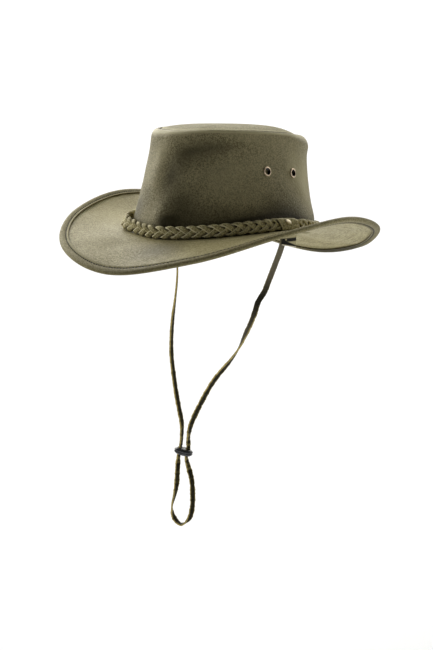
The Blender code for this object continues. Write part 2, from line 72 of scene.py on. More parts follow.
CrownSection = namedtuple("CrownSection", "height width length set_back squareness")
CROWN_SECTIONS = [
    CrownSection(0.00, 1.000, 1.000, 0.000, 2.00),
    CrownSection(0.08, 0.998, 0.998, 0.000, 2.00),
    CrownSection(0.25, 0.945, 0.945, 0.001, 2.08),
    CrownSection(0.41, 0.907, 0.907, 0.007, 2.15),
    CrownSection(0.57, 0.872, 0.872, 0.014, 2.20),
    CrownSection(0.72, 0.845, 0.845, 0.023, 2.25),
    CrownSection(0.88, 0.840, 0.846, 0.040, 2.25),
    CrownSection(1.00, 0.840, 0.846, 0.054, 2.25),
]

SeamSection = namedtuple("SeamSection", "angle height shoulder")
TOP_SEAM = [
    SeamSection(0, 0.98, 0.75),
    SeamSection(30, 0.995, 0.35),
    SeamSection(60, 0.99, 0.30),
    SeamSection(90, 0.965, 0.35),
    SeamSection(120, 0.938, 1.00),
    SeamSection(150, 0.935, 1.25),
    SeamSection(180, 0.955, 1.00),
    SeamSection(210, 0.975, 0.75),
    SeamSection(240, 0.995, 0.45),
    SeamSection(270, 1.00, 0.35),
    SeamSection(300, 0.99, 0.60),
    SeamSection(330, 0.98, 0.90),
]

Dent = namedtuple("Dent", "angle height depth spread rise")
DENTS = [
    Dent(38, 0.74, 0.012, 26, 0.14),
    Dent(25, 0.26, 0.012, 11, 0.18),
    Dent(3, 0.20, -0.014, 8, 0.15),
    Dent(3, 0.88, -0.008, 10, 0.12),
    Dent(350, 0.60, -0.013, 8, 0.24),
    Dent(20, 0.62, 0.005, 12, 0.14),
    Dent(26, 0.70, 0.007, 15, 0.13),
    Dent(106, 0.20, -0.008, 13, 0.12),
    Dent(118, 0.48, 0.001, 14, 0.18),
    Dent(131, 0.10, -0.011, 22, 0.24),
    Dent(120, 0.72, -0.001, 16, 0.14),
    Dent(255, 0.55, 0.010, 22, 0.18),
]

# Painted light and shade on the crown, standing in for how the light falls on it: below 0 it paints shade,
# above 0 it paints light.
PaintedShading = namedtuple("PaintedShading", "angle height tone spread rise")
PAINTED_SHADING = [
    PaintedShading(350, 0.18, 0.60, 13, 0.25),
    PaintedShading(332, 0.28, -0.50, 9, 0.12),
    PaintedShading(346, 0.44, -0.32, 9, 0.14),
    PaintedShading(308, 0.45, 0.80, 8, 0.55),
    PaintedShading(24, 0.82, -0.55, 26, 0.12),
    PaintedShading(9, 0.60, -0.35, 9, 0.25),
    PaintedShading(16, 0.30, -0.30, 14, 0.12),
    PaintedShading(86, 0.22, -0.45, 22, 0.12),
    PaintedShading(50, 0.68, 0.18, 22, 0.16),
    PaintedShading(99, 0.68, 0.45, 10, 0.30),
    PaintedShading(116, 0.48, 0.80, 13, 0.40),
    PaintedShading(348, 0.85, 0.60, 10, 0.16),
    PaintedShading(351, 0.50, 0.30, 6, 0.10),
    PaintedShading(335, 0.62, 0.30, 10, 0.15),
    PaintedShading(38, 0.50, 0.22, 26, 0.18),
    PaintedShading(22, 0.16, -0.25, 12, 0.14),
    PaintedShading(16, 0.85, -0.20, 9, 0.05),
    PaintedShading(36, 0.88, -0.42, 20, 0.06),
    PaintedShading(3, 0.62, -0.50, 5, 0.11),
    PaintedShading(31, 0.53, -0.22, 5, 0.06),
    PaintedShading(20, 0.42, -0.38, 10, 0.12),
    PaintedShading(62, 0.34, 0.30, 13, 0.13),
    PaintedShading(8, 0.17, -0.85, 8, 0.07),
    PaintedShading(74, 0.115, -1.20, 30, 0.05),
    PaintedShading(40, 0.24, -0.15, 12, 0.08),
    PaintedShading(58, 1.70, 0.80, 30, 0.35),
    PaintedShading(64, 1.25, 0.45, 34, 0.40),
    PaintedShading(118, 0.70, 0.28, 10, 0.22),
    PaintedShading(72, 0.16, -0.22, 32, 0.08),
    PaintedShading(56, 1.36, 1.10, 28, 0.14),
]

# The long slow unevenness of hand-worked leather: waves round the hat, waves up it, how strong,
# and where round the hat the wave starts.
Ripple = namedtuple("Ripple", "around up strength start")
CROWN_RIPPLES = [
    Ripple(5, 0.7, 0.00030, 40),
    Ripple(8, 1.3, 0.00022, 110),
    Ripple(13, 2.1, 0.00014, 250),
    Ripple(21, 3.2, 0.00008, 15),
]

# The edge of the brim decides where the crown's foot lies, so its table is needed here too.
BRIM_WIDTH = 0.072
BRIM_LEATHER = 0.002
BRIM_CURL = 0.5
BrimSection = namedtuple("BrimSection", "angle reach rise")
BRIM_SECTIONS = [
    BrimSection(0, 0.98, -0.434),
    BrimSection(30, 1.0, -0.208),
    BrimSection(60, 1.0, 0.130),
    BrimSection(90, 0.99, 0.28),
    BrimSection(120, 1.005, 0.048),
    BrimSection(150, 0.91, -0.371),
    BrimSection(180, 0.885, -0.597),
    BrimSection(210, 0.92, -0.364),
    BrimSection(240, 0.973, 0.185),
    BrimSection(270, 0.938, 0.352),
    BrimSection(300, 1.03, 0.128),
    BrimSection(330, 1.05, -0.214),
]


def curve_through(stations, values, places, period=None):
    """A cubic curve through a table's values, read at many places at once."""
    stations, values = np.asarray(stations, float), np.asarray(values, float)
    places = np.asarray(places, float)
    if period:
        stations = np.concatenate([stations[-1:] - period, stations, stations[:2] + period])
        values = np.concatenate([values[-1:], values, values[:2]])
        places = (places - stations[1]) % period + stations[1]
    last = len(stations) - 1
    places = np.clip(places, stations[0], stations[-1])
    before = np.maximum(np.arange(last + 1) - 1, 0)
    after = np.minimum(np.arange(last + 1) + 1, last)
    slopes = (values[after] - values[before]) / (stations[after] - stations[before])
    low = np.clip(np.searchsorted(stations, places, side="right") - 1, 0, last - 1)
    step = stations[low + 1] - stations[low]
    t = (places - stations[low]) / step
    return (
        (2 * t**3 - 3 * t**2 + 1) * values[low]
        + (t**3 - 2 * t**2 + t) * step * slopes[low]
        + (3 * t**2 - 2 * t**3) * values[low + 1]
        + (t**3 - t**2) * step * slopes[low + 1]
    )


def column(rows, name, places, period=None):
    return curve_through([row[0] for row in rows], [getattr(row, name) for row in rows], places, period)


def points(x, y, z):
    return np.stack(np.broadcast_arrays(x, y, z), axis=-1).astype(float)


def unit(directions):
    return directions / np.maximum(np.linalg.norm(directions, axis=-1, keepdims=True), 1e-12)


def turned_from(angle, middle):
    """Degrees from a middle to an angle, the short way round the hat."""
    return (angle - middle + 180) % 360 - 180


def spot(away, up=0.0):
    """1 at the middle of a spot, fading to 0 about two spreads away from it."""
    return np.exp(-(away**2) - up**2)


def oval(angle, half_width, half_length, squareness=2.0):
    side, front = np.sin(np.radians(angle)), np.cos(np.radians(angle))
    size = (np.abs(side) ** squareness + np.abs(front) ** squareness) ** (-1 / squareness)
    return points(half_width * side * size, -half_length * front * size, 0.0)


def plan_normal(angle, half_width=HEAD_WIDTH / 2, half_length=HEAD_LENGTH / 2):
    side, front = np.sin(np.radians(angle)), np.cos(np.radians(angle))
    return unit(points(side / half_width, -front / half_length, 0.0))


def square_to(surface, angle, share):
    """Square to a surface that is given by an angle round the hat and a share across it."""
    around = surface(angle + 0.5, share) - surface(angle - 0.5, share)
    along = surface(angle, share + 0.004) - surface(angle, share - 0.004)
    return unit(np.cross(around, along))


def foot_line(angle):
    turn = np.radians(angle)
    return FOOT_LEVEL + FOOT_TILT * np.cos(turn) - FOOT_ARCH * np.cos(2 * turn)


def brim_reach(angle):
    return BRIM_WIDTH * column(BRIM_SECTIONS, "reach", angle, 360)


def brim_middle(angle, share):
    low = foot_line(angle) - BRIM_LEATHER / 2
    high = BRIM_WIDTH * column(BRIM_SECTIONS, "rise", angle, 360)
    bend = (1 - BRIM_CURL) * share + BRIM_CURL * share * np.abs(share)
    place = oval(angle, HEAD_WIDTH / 2, HEAD_LENGTH / 2)
    place = place + plan_normal(angle) * (brim_reach(angle) * share)[..., None]
    place[..., 2] += low + (high - low) * bend
    return place


def brim_layer(angle, share, offset):
    angle, share = np.broadcast_arrays(np.asarray(angle, float), np.asarray(share, float))
    offset = np.broadcast_to(offset, angle.shape)[..., None]
    return brim_middle(angle, share) - square_to(brim_middle, angle, share) * offset


def brim_top_height(angle, distance):
    return brim_layer(angle, distance / brim_reach(angle), BRIM_LEATHER / 2)[..., 2]


def crown_outline(angle, height):
    """The outer face of the crown's wall at a height, with its dents and its slow ripples."""
    angle, height = np.broadcast_arrays(np.asarray(angle, float), np.asarray(height, float))
    share = height / CROWN_HEIGHT
    half_width = (HEAD_WIDTH / 2 + CROWN_LEATHER) * column(CROWN_SECTIONS, "width", share)
    half_length = (HEAD_LENGTH / 2 + CROWN_LEATHER) * column(CROWN_SECTIONS, "length", share)
    place = oval(angle, half_width, half_length, column(CROWN_SECTIONS, "squareness", share))
    place[..., 1] += HEAD_LENGTH * column(CROWN_SECTIONS, "set_back", share)
    place[..., 2] = height
    sink = np.zeros_like(share)
    for dent in DENTS:
        around = turned_from(angle, dent.angle) / dent.spread
        sink += HEAD_WIDTH * dent.depth * spot(around, (share - dent.height) / dent.rise)
    for row in CROWN_RIPPLES:
        wave = np.radians(row.around * (angle - row.start)) + 2 * np.pi * row.up * share
        sink += row.strength * np.sin(wave) * np.clip(share * 4, 0, 1)
    return place - plan_normal(angle, half_width, half_length) * sink[..., None]


def crown_surface(angle, share):
    """The wall from 0 to 1, its shoulder from 1 to 2, and the roll into the seam from 2 to 3."""
    angle, share = np.broadcast_arrays(np.asarray(angle, float), np.asarray(share, float))
    radius = SHOULDER_RADIUS * column(TOP_SEAM, "shoulder", angle, 360)
    low = brim_top_height(angle, CROWN_LEATHER) - CROWN_SUNK
    high = CROWN_HEIGHT * column(TOP_SEAM, "height", angle, 360) - radius
    place = crown_outline(angle, low + (high - low) * np.minimum(share, 1))
    turn = np.radians(90 * np.clip(share - 1, 0, 1))
    roll = np.radians(75 * np.clip(share - 2, 0, 1))
    # The shoulder ends a roll short of the seam, and the roll takes it there.
    span = np.maximum(radius - SEAM_ROLL, SEAM_ROLL)
    inwards = span * (1 - np.cos(turn)) + SEAM_ROLL * np.sin(roll)
    rise = radius * np.sin(turn) - SEAM_ROLL * (1 - np.cos(roll))
    return place - plan_normal(angle) * inwards[..., None] + points(0.0, 0.0, rise)


def crown_inside(angle, share):
    """The inner face of the wall's leather, level with its outer face."""
    inner = crown_surface(angle, share) - square_to(crown_surface, angle, share) * CROWN_LEATHER
    foot = oval(angle, HEAD_WIDTH / 2, HEAD_LENGTH / 2)
    foot[..., 2] = brim_top_height(angle, np.zeros_like(angle)) - CROWN_SUNK
    near_foot = np.clip(1 - np.asarray(share, float) / 0.04, 0, 1)[..., None]
    return inner * (1 - near_foot) + foot * near_foot


hat_angles = np.linspace(0, 360, AROUND, endpoint=False)


def grid(function, shares):
    """Rings of points round the hat, one for each share."""
    return np.stack([function(hat_angles, np.full(AROUND, float(share))) for share in shares])


def add_piece(name, mesh, finish, sharp=40):
    mesh.materials.append(finish)
    mesh.shade_smooth()
    mesh.set_sharp_from_angle(angle=math.radians(sharp))
    made = bpy.data.objects.new(name, mesh)
    bpy.context.scene.collection.objects.link(made)
    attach(made, "root")
    return made


def skin(name, rings, round_trip=True, capped=False, values=None):
    """A mesh of quads over rings of points. A round trip joins the last ring to the first."""
    rows, count = rings.shape[:2]
    index = np.arange(rows * count).reshape(rows, count)
    lower = index if round_trip else index[:-1]
    upper = np.roll(index, -1, axis=0) if round_trip else index[1:]
    quads = np.stack([lower, np.roll(lower, -1, 1), np.roll(upper, -1, 1), upper], axis=-1).reshape(-1, 4)
    flat = rings.reshape(-1, 3)
    middle = flat[quads].mean(axis=1)
    facing = np.cross(flat[quads[:, 2]] - flat[quads[:, 0]], flat[quads[:, 3]] - flat[quads[:, 1]])
    if ((middle - flat.mean(axis=0)) * facing).sum() < 0:
        quads = quads[:, ::-1]
    faces = quads.tolist()
    if capped:
        faces += [index[0].tolist(), index[-1][::-1].tolist()]
    mesh = bpy.data.meshes.new(name)
    mesh.from_pydata(flat.tolist(), [], faces)
    for label, numbers in (values or {}).items():
        layer = mesh.attributes.new(label, "FLOAT", "POINT")
        layer.data.foreach_set("value", np.asarray(numbers, np.float32).reshape(-1))
    shape = bmesh.new()
    shape.from_mesh(mesh)
    bmesh.ops.recalc_face_normals(shape, faces=shape.faces)
    if shape.calc_volume(signed=True) < 0:
        bmesh.ops.reverse_faces(shape, faces=shape.faces)
    shape.to_mesh(mesh)
    shape.free()
    return mesh


class Finish:
    """A Principled material in the making, with short ways to add its nodes and join them."""

    def __init__(self, name):
        self.made = bpy.data.materials.new(name)
        self.made.use_nodes = True
        self.tree = self.made.node_tree
        self.place = self.node("ShaderNodeTexCoord").outputs["Object"]

    def node(self, kind, **settings):
        added = self.tree.nodes.new(kind)
        for key, value in settings.items():
            if key in added.inputs:
                added.inputs[key].default_value = value
            else:
                setattr(added, key, value)
        return added

    def fill(self, socket, source):
        """Joins another node to a socket, or sets a colour or a number on it."""
        if isinstance(source, bpy.types.NodeSocket):
            self.tree.links.new(source, socket)
        elif isinstance(source, tuple):
            socket.default_value = (*source, 1)
        else:
            socket.default_value = source

    def texture(self, kind, output, place=None, **settings):
        added = self.node(kind, **settings)
        self.fill(added.inputs["Vector"], place or self.place)
        return added.outputs[output]

    def noise(self, scale, detail, roughness, **settings):
        settings.update(Scale=scale, Detail=detail, Roughness=roughness)
        return self.texture("ShaderNodeTexNoise", "Fac", **settings)

    def wave(self, scale, distortion, **settings):
        settings.update(Scale=scale, Distortion=distortion, Detail=1.0)
        return self.texture("ShaderNodeTexWave", "Fac", **settings)

    def attribute(self, name):
        return self.node("ShaderNodeAttribute", attribute_name=name).outputs["Fac"]

    def maths(self, operation, *values):
        added = self.node("ShaderNodeMath", operation=operation)
        for number, value in enumerate(values):
            self.fill(added.inputs[number], value)
        return added.outputs[0]

    def mixed(self, share, low, high):
        """A colour between two others, by a share that is held between 0 and 1."""
        added = self.node("ShaderNodeMix", data_type="RGBA", clamp_factor=True)
        for number, value in ((0, share), (6, low), (7, high)):
            self.fill(added.inputs[number], value)
        return added.outputs[2]

    def ranged(self, source, low, high):
        added = self.node("ShaderNodeMapRange")
        for name, value in (("Value", source), ("To Min", low), ("To Max", high)):
            self.fill(added.inputs[name], value)
        return added.outputs["Result"]

    def relief(self, height, strength, depth, over=None):
        added = self.node("ShaderNodeBump", Strength=strength, Distance=depth)
        self.fill(added.inputs["Height"], height)
        if over is not None:
            self.fill(added.inputs["Normal"], over)
        return added.outputs["Normal"]

    def dressed(self, settings):
        """The finished material, with its colours, numbers and nodes on the shader's own sockets."""
        for name, value in settings.items():
            self.fill(self.tree.nodes["Principled BSDF"].inputs[name], value)
        return self.made


# The patches of tone in a hide, from broad clouds to single pebbles: how many to the metre, their
# detail, and how strong they are.
Patch = namedtuple("Patch", "scale detail strength")
PATCHES = [
    Patch(16, 3, 0.65),
    Patch(70, 4, 0.55),
    Patch(260, 2, 0.6),
    Patch(480, 2, 1.5),
    Patch(760, 2, 2.8),
    Patch(1150, 2, 2.6),
]
# What burnishing and painted shade leave of the red, green and blue of the darkest tone.
BURNISH_AND_SHADE = (0.22, 0.21, 0.12)
CREASE_DEPTH = 0.0006
FIBRES_TO_THE_METRE = 400.0


def leather(
    name, light, dark, pale_and_lit=None, grain=0.0005, rough=(0.50, 0.68), fine=560,
    fibres=None, dust=None, gloss=0.23, sheen=0.05,
):
    """Oiled leather: broad and small patches of tone, a fine pebbled grain and soft creases.
    The attribute of its wear and shading is above 0 where it is rubbed or cut pale and where light is
    painted on, and below 0 where it is burnished dark and where shade is painted on.
    The attribute "flesh" is 1 on the inner side of the hide, where its fibres show as streaks, and
    "dusty" is above 0 where dust lies on it."""
    hide = Finish(name)
    tone = 0.5 - sum(patch.strength for patch in PATCHES) / 2
    for patch in PATCHES:
        tone = hide.maths("MULTIPLY_ADD", hide.noise(patch.scale, patch.detail, 0.6), patch.strength, tone)
    if fibres:
        lie = hide.node("ShaderNodeCombineXYZ")
        hide.fill(lie.inputs[0], hide.attribute("fibres_around"))
        hide.fill(lie.inputs[1], hide.attribute("fibres_across"))
        strokes = hide.noise(FIBRES_TO_THE_METRE, 3.0, 0.6, place=lie.outputs["Vector"])
        streak = hide.maths("MULTIPLY_ADD", strokes, fibres, -fibres / 2)
        tone = hide.maths("MULTIPLY_ADD", streak, hide.attribute("flesh"), tone)
    wear_and_shading = hide.attribute("wear_and_shading")
    # The darkest mix stands for burnished leather and for painted shade; the palest for cut and rubbed
    # edges and for painted light.
    burnished_and_shaded = tuple(part * kept for part, kept in zip(dark, BURNISH_AND_SHADE))
    colour = hide.mixed(tone, dark, light)
    colour = hide.mixed(hide.maths("MULTIPLY", wear_and_shading, -1.0), colour, burnished_and_shaded)
    colour = hide.mixed(wear_and_shading, colour, pale_and_lit or light)
    if dust:
        colour = hide.mixed(hide.attribute("dusty"), colour, dust)
    pebbles = hide.texture(
        "ShaderNodeTexVoronoi", "Distance", Scale=fine, feature="SMOOTH_F1", Randomness=1.0
    )
    surface = hide.maths("MULTIPLY_ADD", hide.noise(fine * 2.2, 2.0, 0.6), 0.5, pebbles)
    creased = hide.relief(hide.noise(38.0, 4.0, 0.55, Distortion=0.4), 0.6, CREASE_DEPTH)
    return hide.dressed({
        "Base Color": colour,
        "Normal": hide.relief(surface, 0.55, grain, over=creased),
        "Roughness": hide.ranged(tone, rough[1], rough[0]),
        "Specular IOR Level": gloss,
        "Specular Tint": (1.0, 0.92, 0.70),
        "Sheen Weight": sheen,
        "Sheen Tint": (0.95, 0.88, 0.62),
        "Sheen Roughness": 0.5,
    })


def painted_shading_tone(rows, shares):
    """How much painted light and shade lies on each point of rings of points round the hat."""
    tone = np.zeros((len(shares), AROUND))
    for row in rows:
        up = (shares - row.height) / row.rise
        tone += row.tone * spot(up[:, None], turned_from(hat_angles, row.angle) / row.spread)
    return tone


crown_leather = leather(
    "crown_leather",
    light=(0.268, 0.239, 0.132),
    dark=(0.103, 0.089, 0.043),
    pale_and_lit=(0.365, 0.330, 0.190),
)
wall_shares = np.concatenate([np.linspace(0, 1, 34), np.linspace(1, 2, 9)[1:], np.linspace(2, 3, 6)[1:]])
inner_shares = [3, 2.6, 2.2, 2, 1.7, 1.3, 1, 0.8, 0.6, 0.4, 0.25, 0.12, 0.05, 0]
outer_rings = grid(crown_surface, wall_shares)
inner_rings = grid(crown_inside, inner_shares)
# The turned edge is rubbed pale along its crest, with a painted highlight there. Painted shade darkens the
# foot above the band, except at the front of the hat, where painted light brightens it, and painted shade
# darkens the roll down into the seam and the whole inside of the wall.
wall_wear_and_shade = CREST_PALE_AND_LIT * spot((wall_shares - 1.62) / 0.24) - FOOT_SHADE * spot(wall_shares / 0.30)
wall_wear_and_shade -= SEAM_SHADE * np.clip((wall_shares - 2.4) / 0.4, 0, 1)
wall_wear_and_shade = wall_wear_and_shade[:, None] + painted_shading_tone(PAINTED_SHADING, wall_shares)
wear_and_shading = np.concatenate([wall_wear_and_shade, np.full((len(inner_shares), AROUND), -INSIDE_SHADE)])
wall_mesh = skin("crown_wall", np.concatenate([outer_rings, inner_rings]), values={"wear_and_shading": wear_and_shading})
crown_wall = add_piece("crown_wall", wall_mesh, crown_leather, sharp=60)
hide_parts("crown_side")

# Crown top
# The oval panel that closes the crown, of the same hide. It is sewn to the wall with both edges
# turned in, so a groove shows between the two rolls, and it rises to a low dome with one soft fold.
TIP_DOME = 0.0058
TIP_ROLL = 0.0022
TIP_STAND = 0.0009
TIP_STAND_ANGLE = 100
TIP_STAND_SPREAD = 34
TIP_FOLD_ANGLE = 20.0
TIP_FOLD_HEIGHT = 0.0012
TIP_FOLD_WIDTH = 0.16
TIP_SUNK = 0.0002
SEAM_SHADE_AT = 322
SEAM_SHADE_SPREAD = 13
seam_middle = grid(crown_surface, [2.0])[0].mean(axis=0)


def tip_point(angle, share):
    """From the middle at 0 to the crest of the panel's roll at 1, then down into the seam at 2."""
    seam = crown_surface(angle, np.full_like(angle, 2.0))
    inwards = -plan_normal(angle)
    crest = seam + inwards * (SEAM_ROLL + TIP_ROLL)
    stand = TIP_STAND * (0.55 + spot(turned_from(angle, TIP_STAND_ANGLE) / TIP_STAND_SPREAD))
    crest[..., 2] += stand - TIP_SUNK
    flat = np.minimum(share, 1)
    place = seam_middle + (crest - seam_middle) * flat[..., None]
    top = seam_middle[2] + TIP_DOME
    place[..., 2] = top + (crest[..., 2] - top) * flat**4
    across = np.radians(angle - TIP_FOLD_ANGLE)
    ridge = spot(flat * np.sin(across) / TIP_FOLD_WIDTH) * np.clip(np.cos(across), 0, 1)
    place[..., 2] += TIP_FOLD_HEIGHT * ridge * flat * np.clip((1 - flat) * 8, 0, 1)
    roll = np.radians(75 * np.clip(share - 1, 0, 1))
    place = place - inwards * (TIP_ROLL * np.sin(roll))[..., None]
    place[..., 2] -= (TIP_ROLL + stand * 1.35) * (1 - np.cos(roll))
    return place


def tip_under(angle, share):
    place = tip_point(angle, share)
    place[..., 2] -= CROWN_LEATHER
    return place


tip_shares = [0.02, 0.12, 0.25, 0.4, 0.55, 0.68, 0.78, 0.86, 0.91, 0.95, 0.98, 1, 1.2, 1.4, 1.6, 1.8, 2]
tip_rings = np.concatenate([grid(tip_point, tip_shares), grid(tip_under, [2, 1.5, 1, 0.8, 0.4, 0.02])])
# The roll is rubbed pale, with a painted highlight along its crest, and painted shade fills the seam
# beside it, most of all where it gapes a little.
seam_shading = 0.45 + 0.55 * spot((hat_angles - SEAM_SHADE_AT) / SEAM_SHADE_SPREAD)
tip_wear_and_shade = np.full(tip_rings.shape[:2], -0.06)
for row, share in enumerate(tip_shares):
    tip_wear_and_shade[row] += 0.90 * spot((share - 1.05) / 0.08)
    tip_wear_and_shade[row] -= seam_shading * min(max((share - 1.20) / 0.25, 0), 1)
tip_leather = leather(
    "tip_leather",
    light=(0.262, 0.235, 0.112),
    dark=(0.112, 0.098, 0.038),
    pale_and_lit=(0.510, 0.470, 0.280),
    grain=0.00045,
    rough=(0.60, 0.78),
)
tip_mesh = skin("crown_top", tip_rings, round_trip=False, capped=True, values={"wear_and_shading": tip_wear_and_shade})
crown_top = add_piece("crown_top", tip_mesh, tip_leather, sharp=60)
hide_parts("crown_tip")

# Brim
# One ring of thicker hide, pressed to dip at the front and the back and to roll up at both sides.
# It is sewn to the foot of the crown. Its grain side shows on top, and the underside is paler.
BRIM_RIPPLES = [
    Ripple(7, 0.5, 0.00035, 20),
    Ripple(11, 0.9, 0.00025, 75),
    Ripple(17, 1.6, 0.00014, 200),
]
# Painted light and shade on the brim, by angle round the hat and share across the brim.
BRIM_PAINTED_SHADING = [
    PaintedShading(14, 0.45, -0.66, 13, 0.32),
    PaintedShading(343, 0.55, 0.25, 12, 0.25),
    PaintedShading(40, 0.55, 0.30, 14, 0.35),
    PaintedShading(298, 0.42, 0.50, 13, 0.32),
    PaintedShading(284, 0.84, 0.45, 14, 0.20),
]
BINDING_WIDTH = 0.009
BINDING_LEATHER = 0.0008


def brim_lift(angle, share):
    """The slow ripples of the brim, which fade out at the crown and at the bound edge."""
    lift = np.zeros_like(np.asarray(angle, float))
    for row in BRIM_RIPPLES:
        wave = np.radians(row.around * (angle - row.start)) + 2 * np.pi * row.up * share
        lift = lift + row.strength * np.sin(wave)
    return lift * np.clip(share * 3, 0, 1) * np.clip((1 - share) * 5, 0, 1)


def brim_top(angle, share):
    return brim_layer(angle, share, BRIM_LEATHER / 2 + brim_lift(angle, share))


def brim_under(angle, share):
    return brim_layer(angle, share, -BRIM_LEATHER / 2 + brim_lift(angle, share))


brim_leather = leather(
    "brim_leather",
    light=(0.397, 0.351, 0.181),
    dark=(0.188, 0.165, 0.077),
    rough=(0.48, 0.64),
    fibres=2.6,
)
brim_end = 1 - (BINDING_LEATHER + CLEARANCE) / BRIM_WIDTH
lip_end = 1 - BINDING_WIDTH / BRIM_WIDTH
brim_shares = np.concatenate([
    np.linspace(0, 0.12, 4),
    np.linspace(0.12, lip_end - 0.03, 18)[1:],
    [lip_end - 0.014, lip_end - 0.004, lip_end + 0.004, lip_end + 0.03],
    np.linspace(lip_end + 0.06, brim_end, 3),
])
brim_rings = np.concatenate([grid(brim_top, brim_shares), grid(brim_under, brim_shares[::-1])])
opening = oval(hat_angles, HEAD_WIDTH / 2, HEAD_LENGTH / 2)
for ring in (brim_rings[0], brim_rings[-1]):
    ring[:, :2] = opening[:, :2]
# A painted shadow lies on the brim along the lip of the bound edge.
top_shade_values = painted_shading_tone(BRIM_PAINTED_SHADING, brim_shares) - 0.8 * spot((brim_shares - lip_end) / 0.008)[:, None]
brim_shade_values = np.concatenate([top_shade_values, np.zeros_like(top_shade_values)])
# The fibres run round the hat, and are drawn out to a tenth of their spacing along their run.
half_way_round = np.radians(np.abs(turned_from(hat_angles, 0)))
all_round = np.ones_like(brim_shade_values)
brim_values = {
    "wear_and_shading": brim_shade_values,
    "flesh": np.repeat([0.0, 1.0], len(brim_shares))[:, None] * all_round,
    "fibres_around": half_way_round * HEAD_LENGTH / 2 * 0.1 * all_round,
    "fibres_across": np.concatenate([brim_shares, brim_shares[::-1]])[:, None] * BRIM_WIDTH * all_round,
}
brim_mesh = skin("brim_panel", brim_rings, values=brim_values)
brim = add_piece("brim_panel", brim_mesh, brim_leather)
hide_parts("brim")

# Bound edge
# A strip of thin darker leather, folded round the edge of the brim and sewn through it with one
# row of stitches on each face. Outside the stitches it lies smooth, and inside them its free edge
# stands up a little as a narrow lip.
LIP_WIDTH = 0.0026
LIP_RISE = 0.0004
STITCH_GROOVE = 0.0005
UNDER_LIP_DARKER = 0.5
BINDING_INNER = BRIM_LEATHER / 2 + 1.5 * CLEARANCE
BINDING_OUTER = BINDING_INNER + BINDING_LEATHER


def across_binding(distance, offset):
    """A line round the brim at a distance in from its edge, and an offset from its middle."""
    return brim_layer(hat_angles, 1 - distance / BRIM_WIDTH, offset)


binding_leather = leather(
    "binding_leather",
    light=(0.300, 0.266, 0.136),
    dark=(0.165, 0.144, 0.068),
    grain=0.00020,
    rough=(0.60, 0.76),
    pale_and_lit=(0.360, 0.325, 0.175),
    fine=1100,
)
# Painted shade darkens the strip along the front left and at the far right.
BINDING_PAINTED_SHADING = [
    PaintedShading(10, 0, -0.25, 16, 1),
    PaintedShading(35, 0, -0.35, 40, 1),
    PaintedShading(118, 0, -0.40, 24, 1),
    PaintedShading(165, 0, -1.2, 22, 1),
    PaintedShading(262, 0, -0.25, 22, 1),
]
groove_at = BINDING_WIDTH - LIP_WIDTH
# The strip's outer face, from its free edge to the edge of the brim: how far in from the brim's edge, how
# far from the brim's middle, and its wear and painted shade. A painted shadow lies where the free edge
# meets the brim, and a little painted shade in the stitch groove.
lines = [
    (BINDING_WIDTH, BINDING_INNER, -1.0),
    (BINDING_WIDTH, BINDING_OUTER + LIP_RISE * 0.6, 0.2),
    (BINDING_WIDTH - LIP_WIDTH * 0.3, BINDING_OUTER + LIP_RISE, 0.6),
    (groove_at + LIP_WIDTH * 0.25, BINDING_OUTER, 0.1),
    (groove_at, BINDING_OUTER - STITCH_GROOVE, -0.1),
    (groove_at - LIP_WIDTH * 0.3, BINDING_OUTER, 0.0),
    (groove_at * 0.6, BINDING_OUTER + LIP_RISE * 0.4, 0.0),
    (groove_at * 0.3, BINDING_OUTER, 0.0),
    (BINDING_OUTER * 0.35, BINDING_OUTER * 0.72, 0.0),
    (0.0, BINDING_OUTER * 0.25, 0.0),
]
folded = list(lines)
for distance, offset, wear_and_shade in reversed(lines):
    # Underneath, the lip is darker from the stitches inwards.
    folded.append((distance, -offset, wear_and_shade - (UNDER_LIP_DARKER if distance > groove_at else 0.0)))
folded += [(BINDING_LEATHER, -BINDING_INNER, 0.0), (BINDING_LEATHER, BINDING_INNER, 0.0)]
binding_rings = np.stack([across_binding(distance, offset) for distance, offset, wear_and_shade in folded])
binding_wear_and_shade = np.array([wear_and_shade for distance, offset, wear_and_shade in folded])[:, None]
binding_wear_and_shade = binding_wear_and_shade + painted_shading_tone(BINDING_PAINTED_SHADING, np.zeros(1))
binding_mesh = skin("bound_edge", binding_rings, values={"wear_and_shading": binding_wear_and_shade})
binding = add_piece("bound_edge", binding_mesh, binding_leather, sharp=70)
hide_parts("brim_binding")

# Stitches of the bound edge
# Waxed thread in the groove of the binding, one row on top of the brim and one under it, about
# three stitches to the centimetre. The ends of each stitch are sunk in the leather.
STITCH_LENGTH = 0.0022
STITCH_PITCH = 0.0035
THREAD = 0.00052
STITCH_RINGS = 5
STITCH_SIDES = 6


def waxed_thread(name, colour):
    thread = Finish(name)
    twist = thread.wave(900.0, 2.0)
    return thread.dressed({
        "Base Color": thread.mixed(twist, tuple(part * 0.6 for part in colour), colour),
        "Normal": thread.relief(twist, 0.4, 0.0001),
        "Roughness": 0.55,
    })


def walked(line):
    """How far along a line of points each of its points lies."""
    return np.concatenate([[0], np.cumsum(np.linalg.norm(np.diff(line, axis=0), axis=1))])


def read_along(places, stations, table):
    """Reads a table of points, one for each station, at places between the stations."""
    return np.stack([np.interp(places, stations, table[:, axis]) for axis in range(3)], axis=-1)


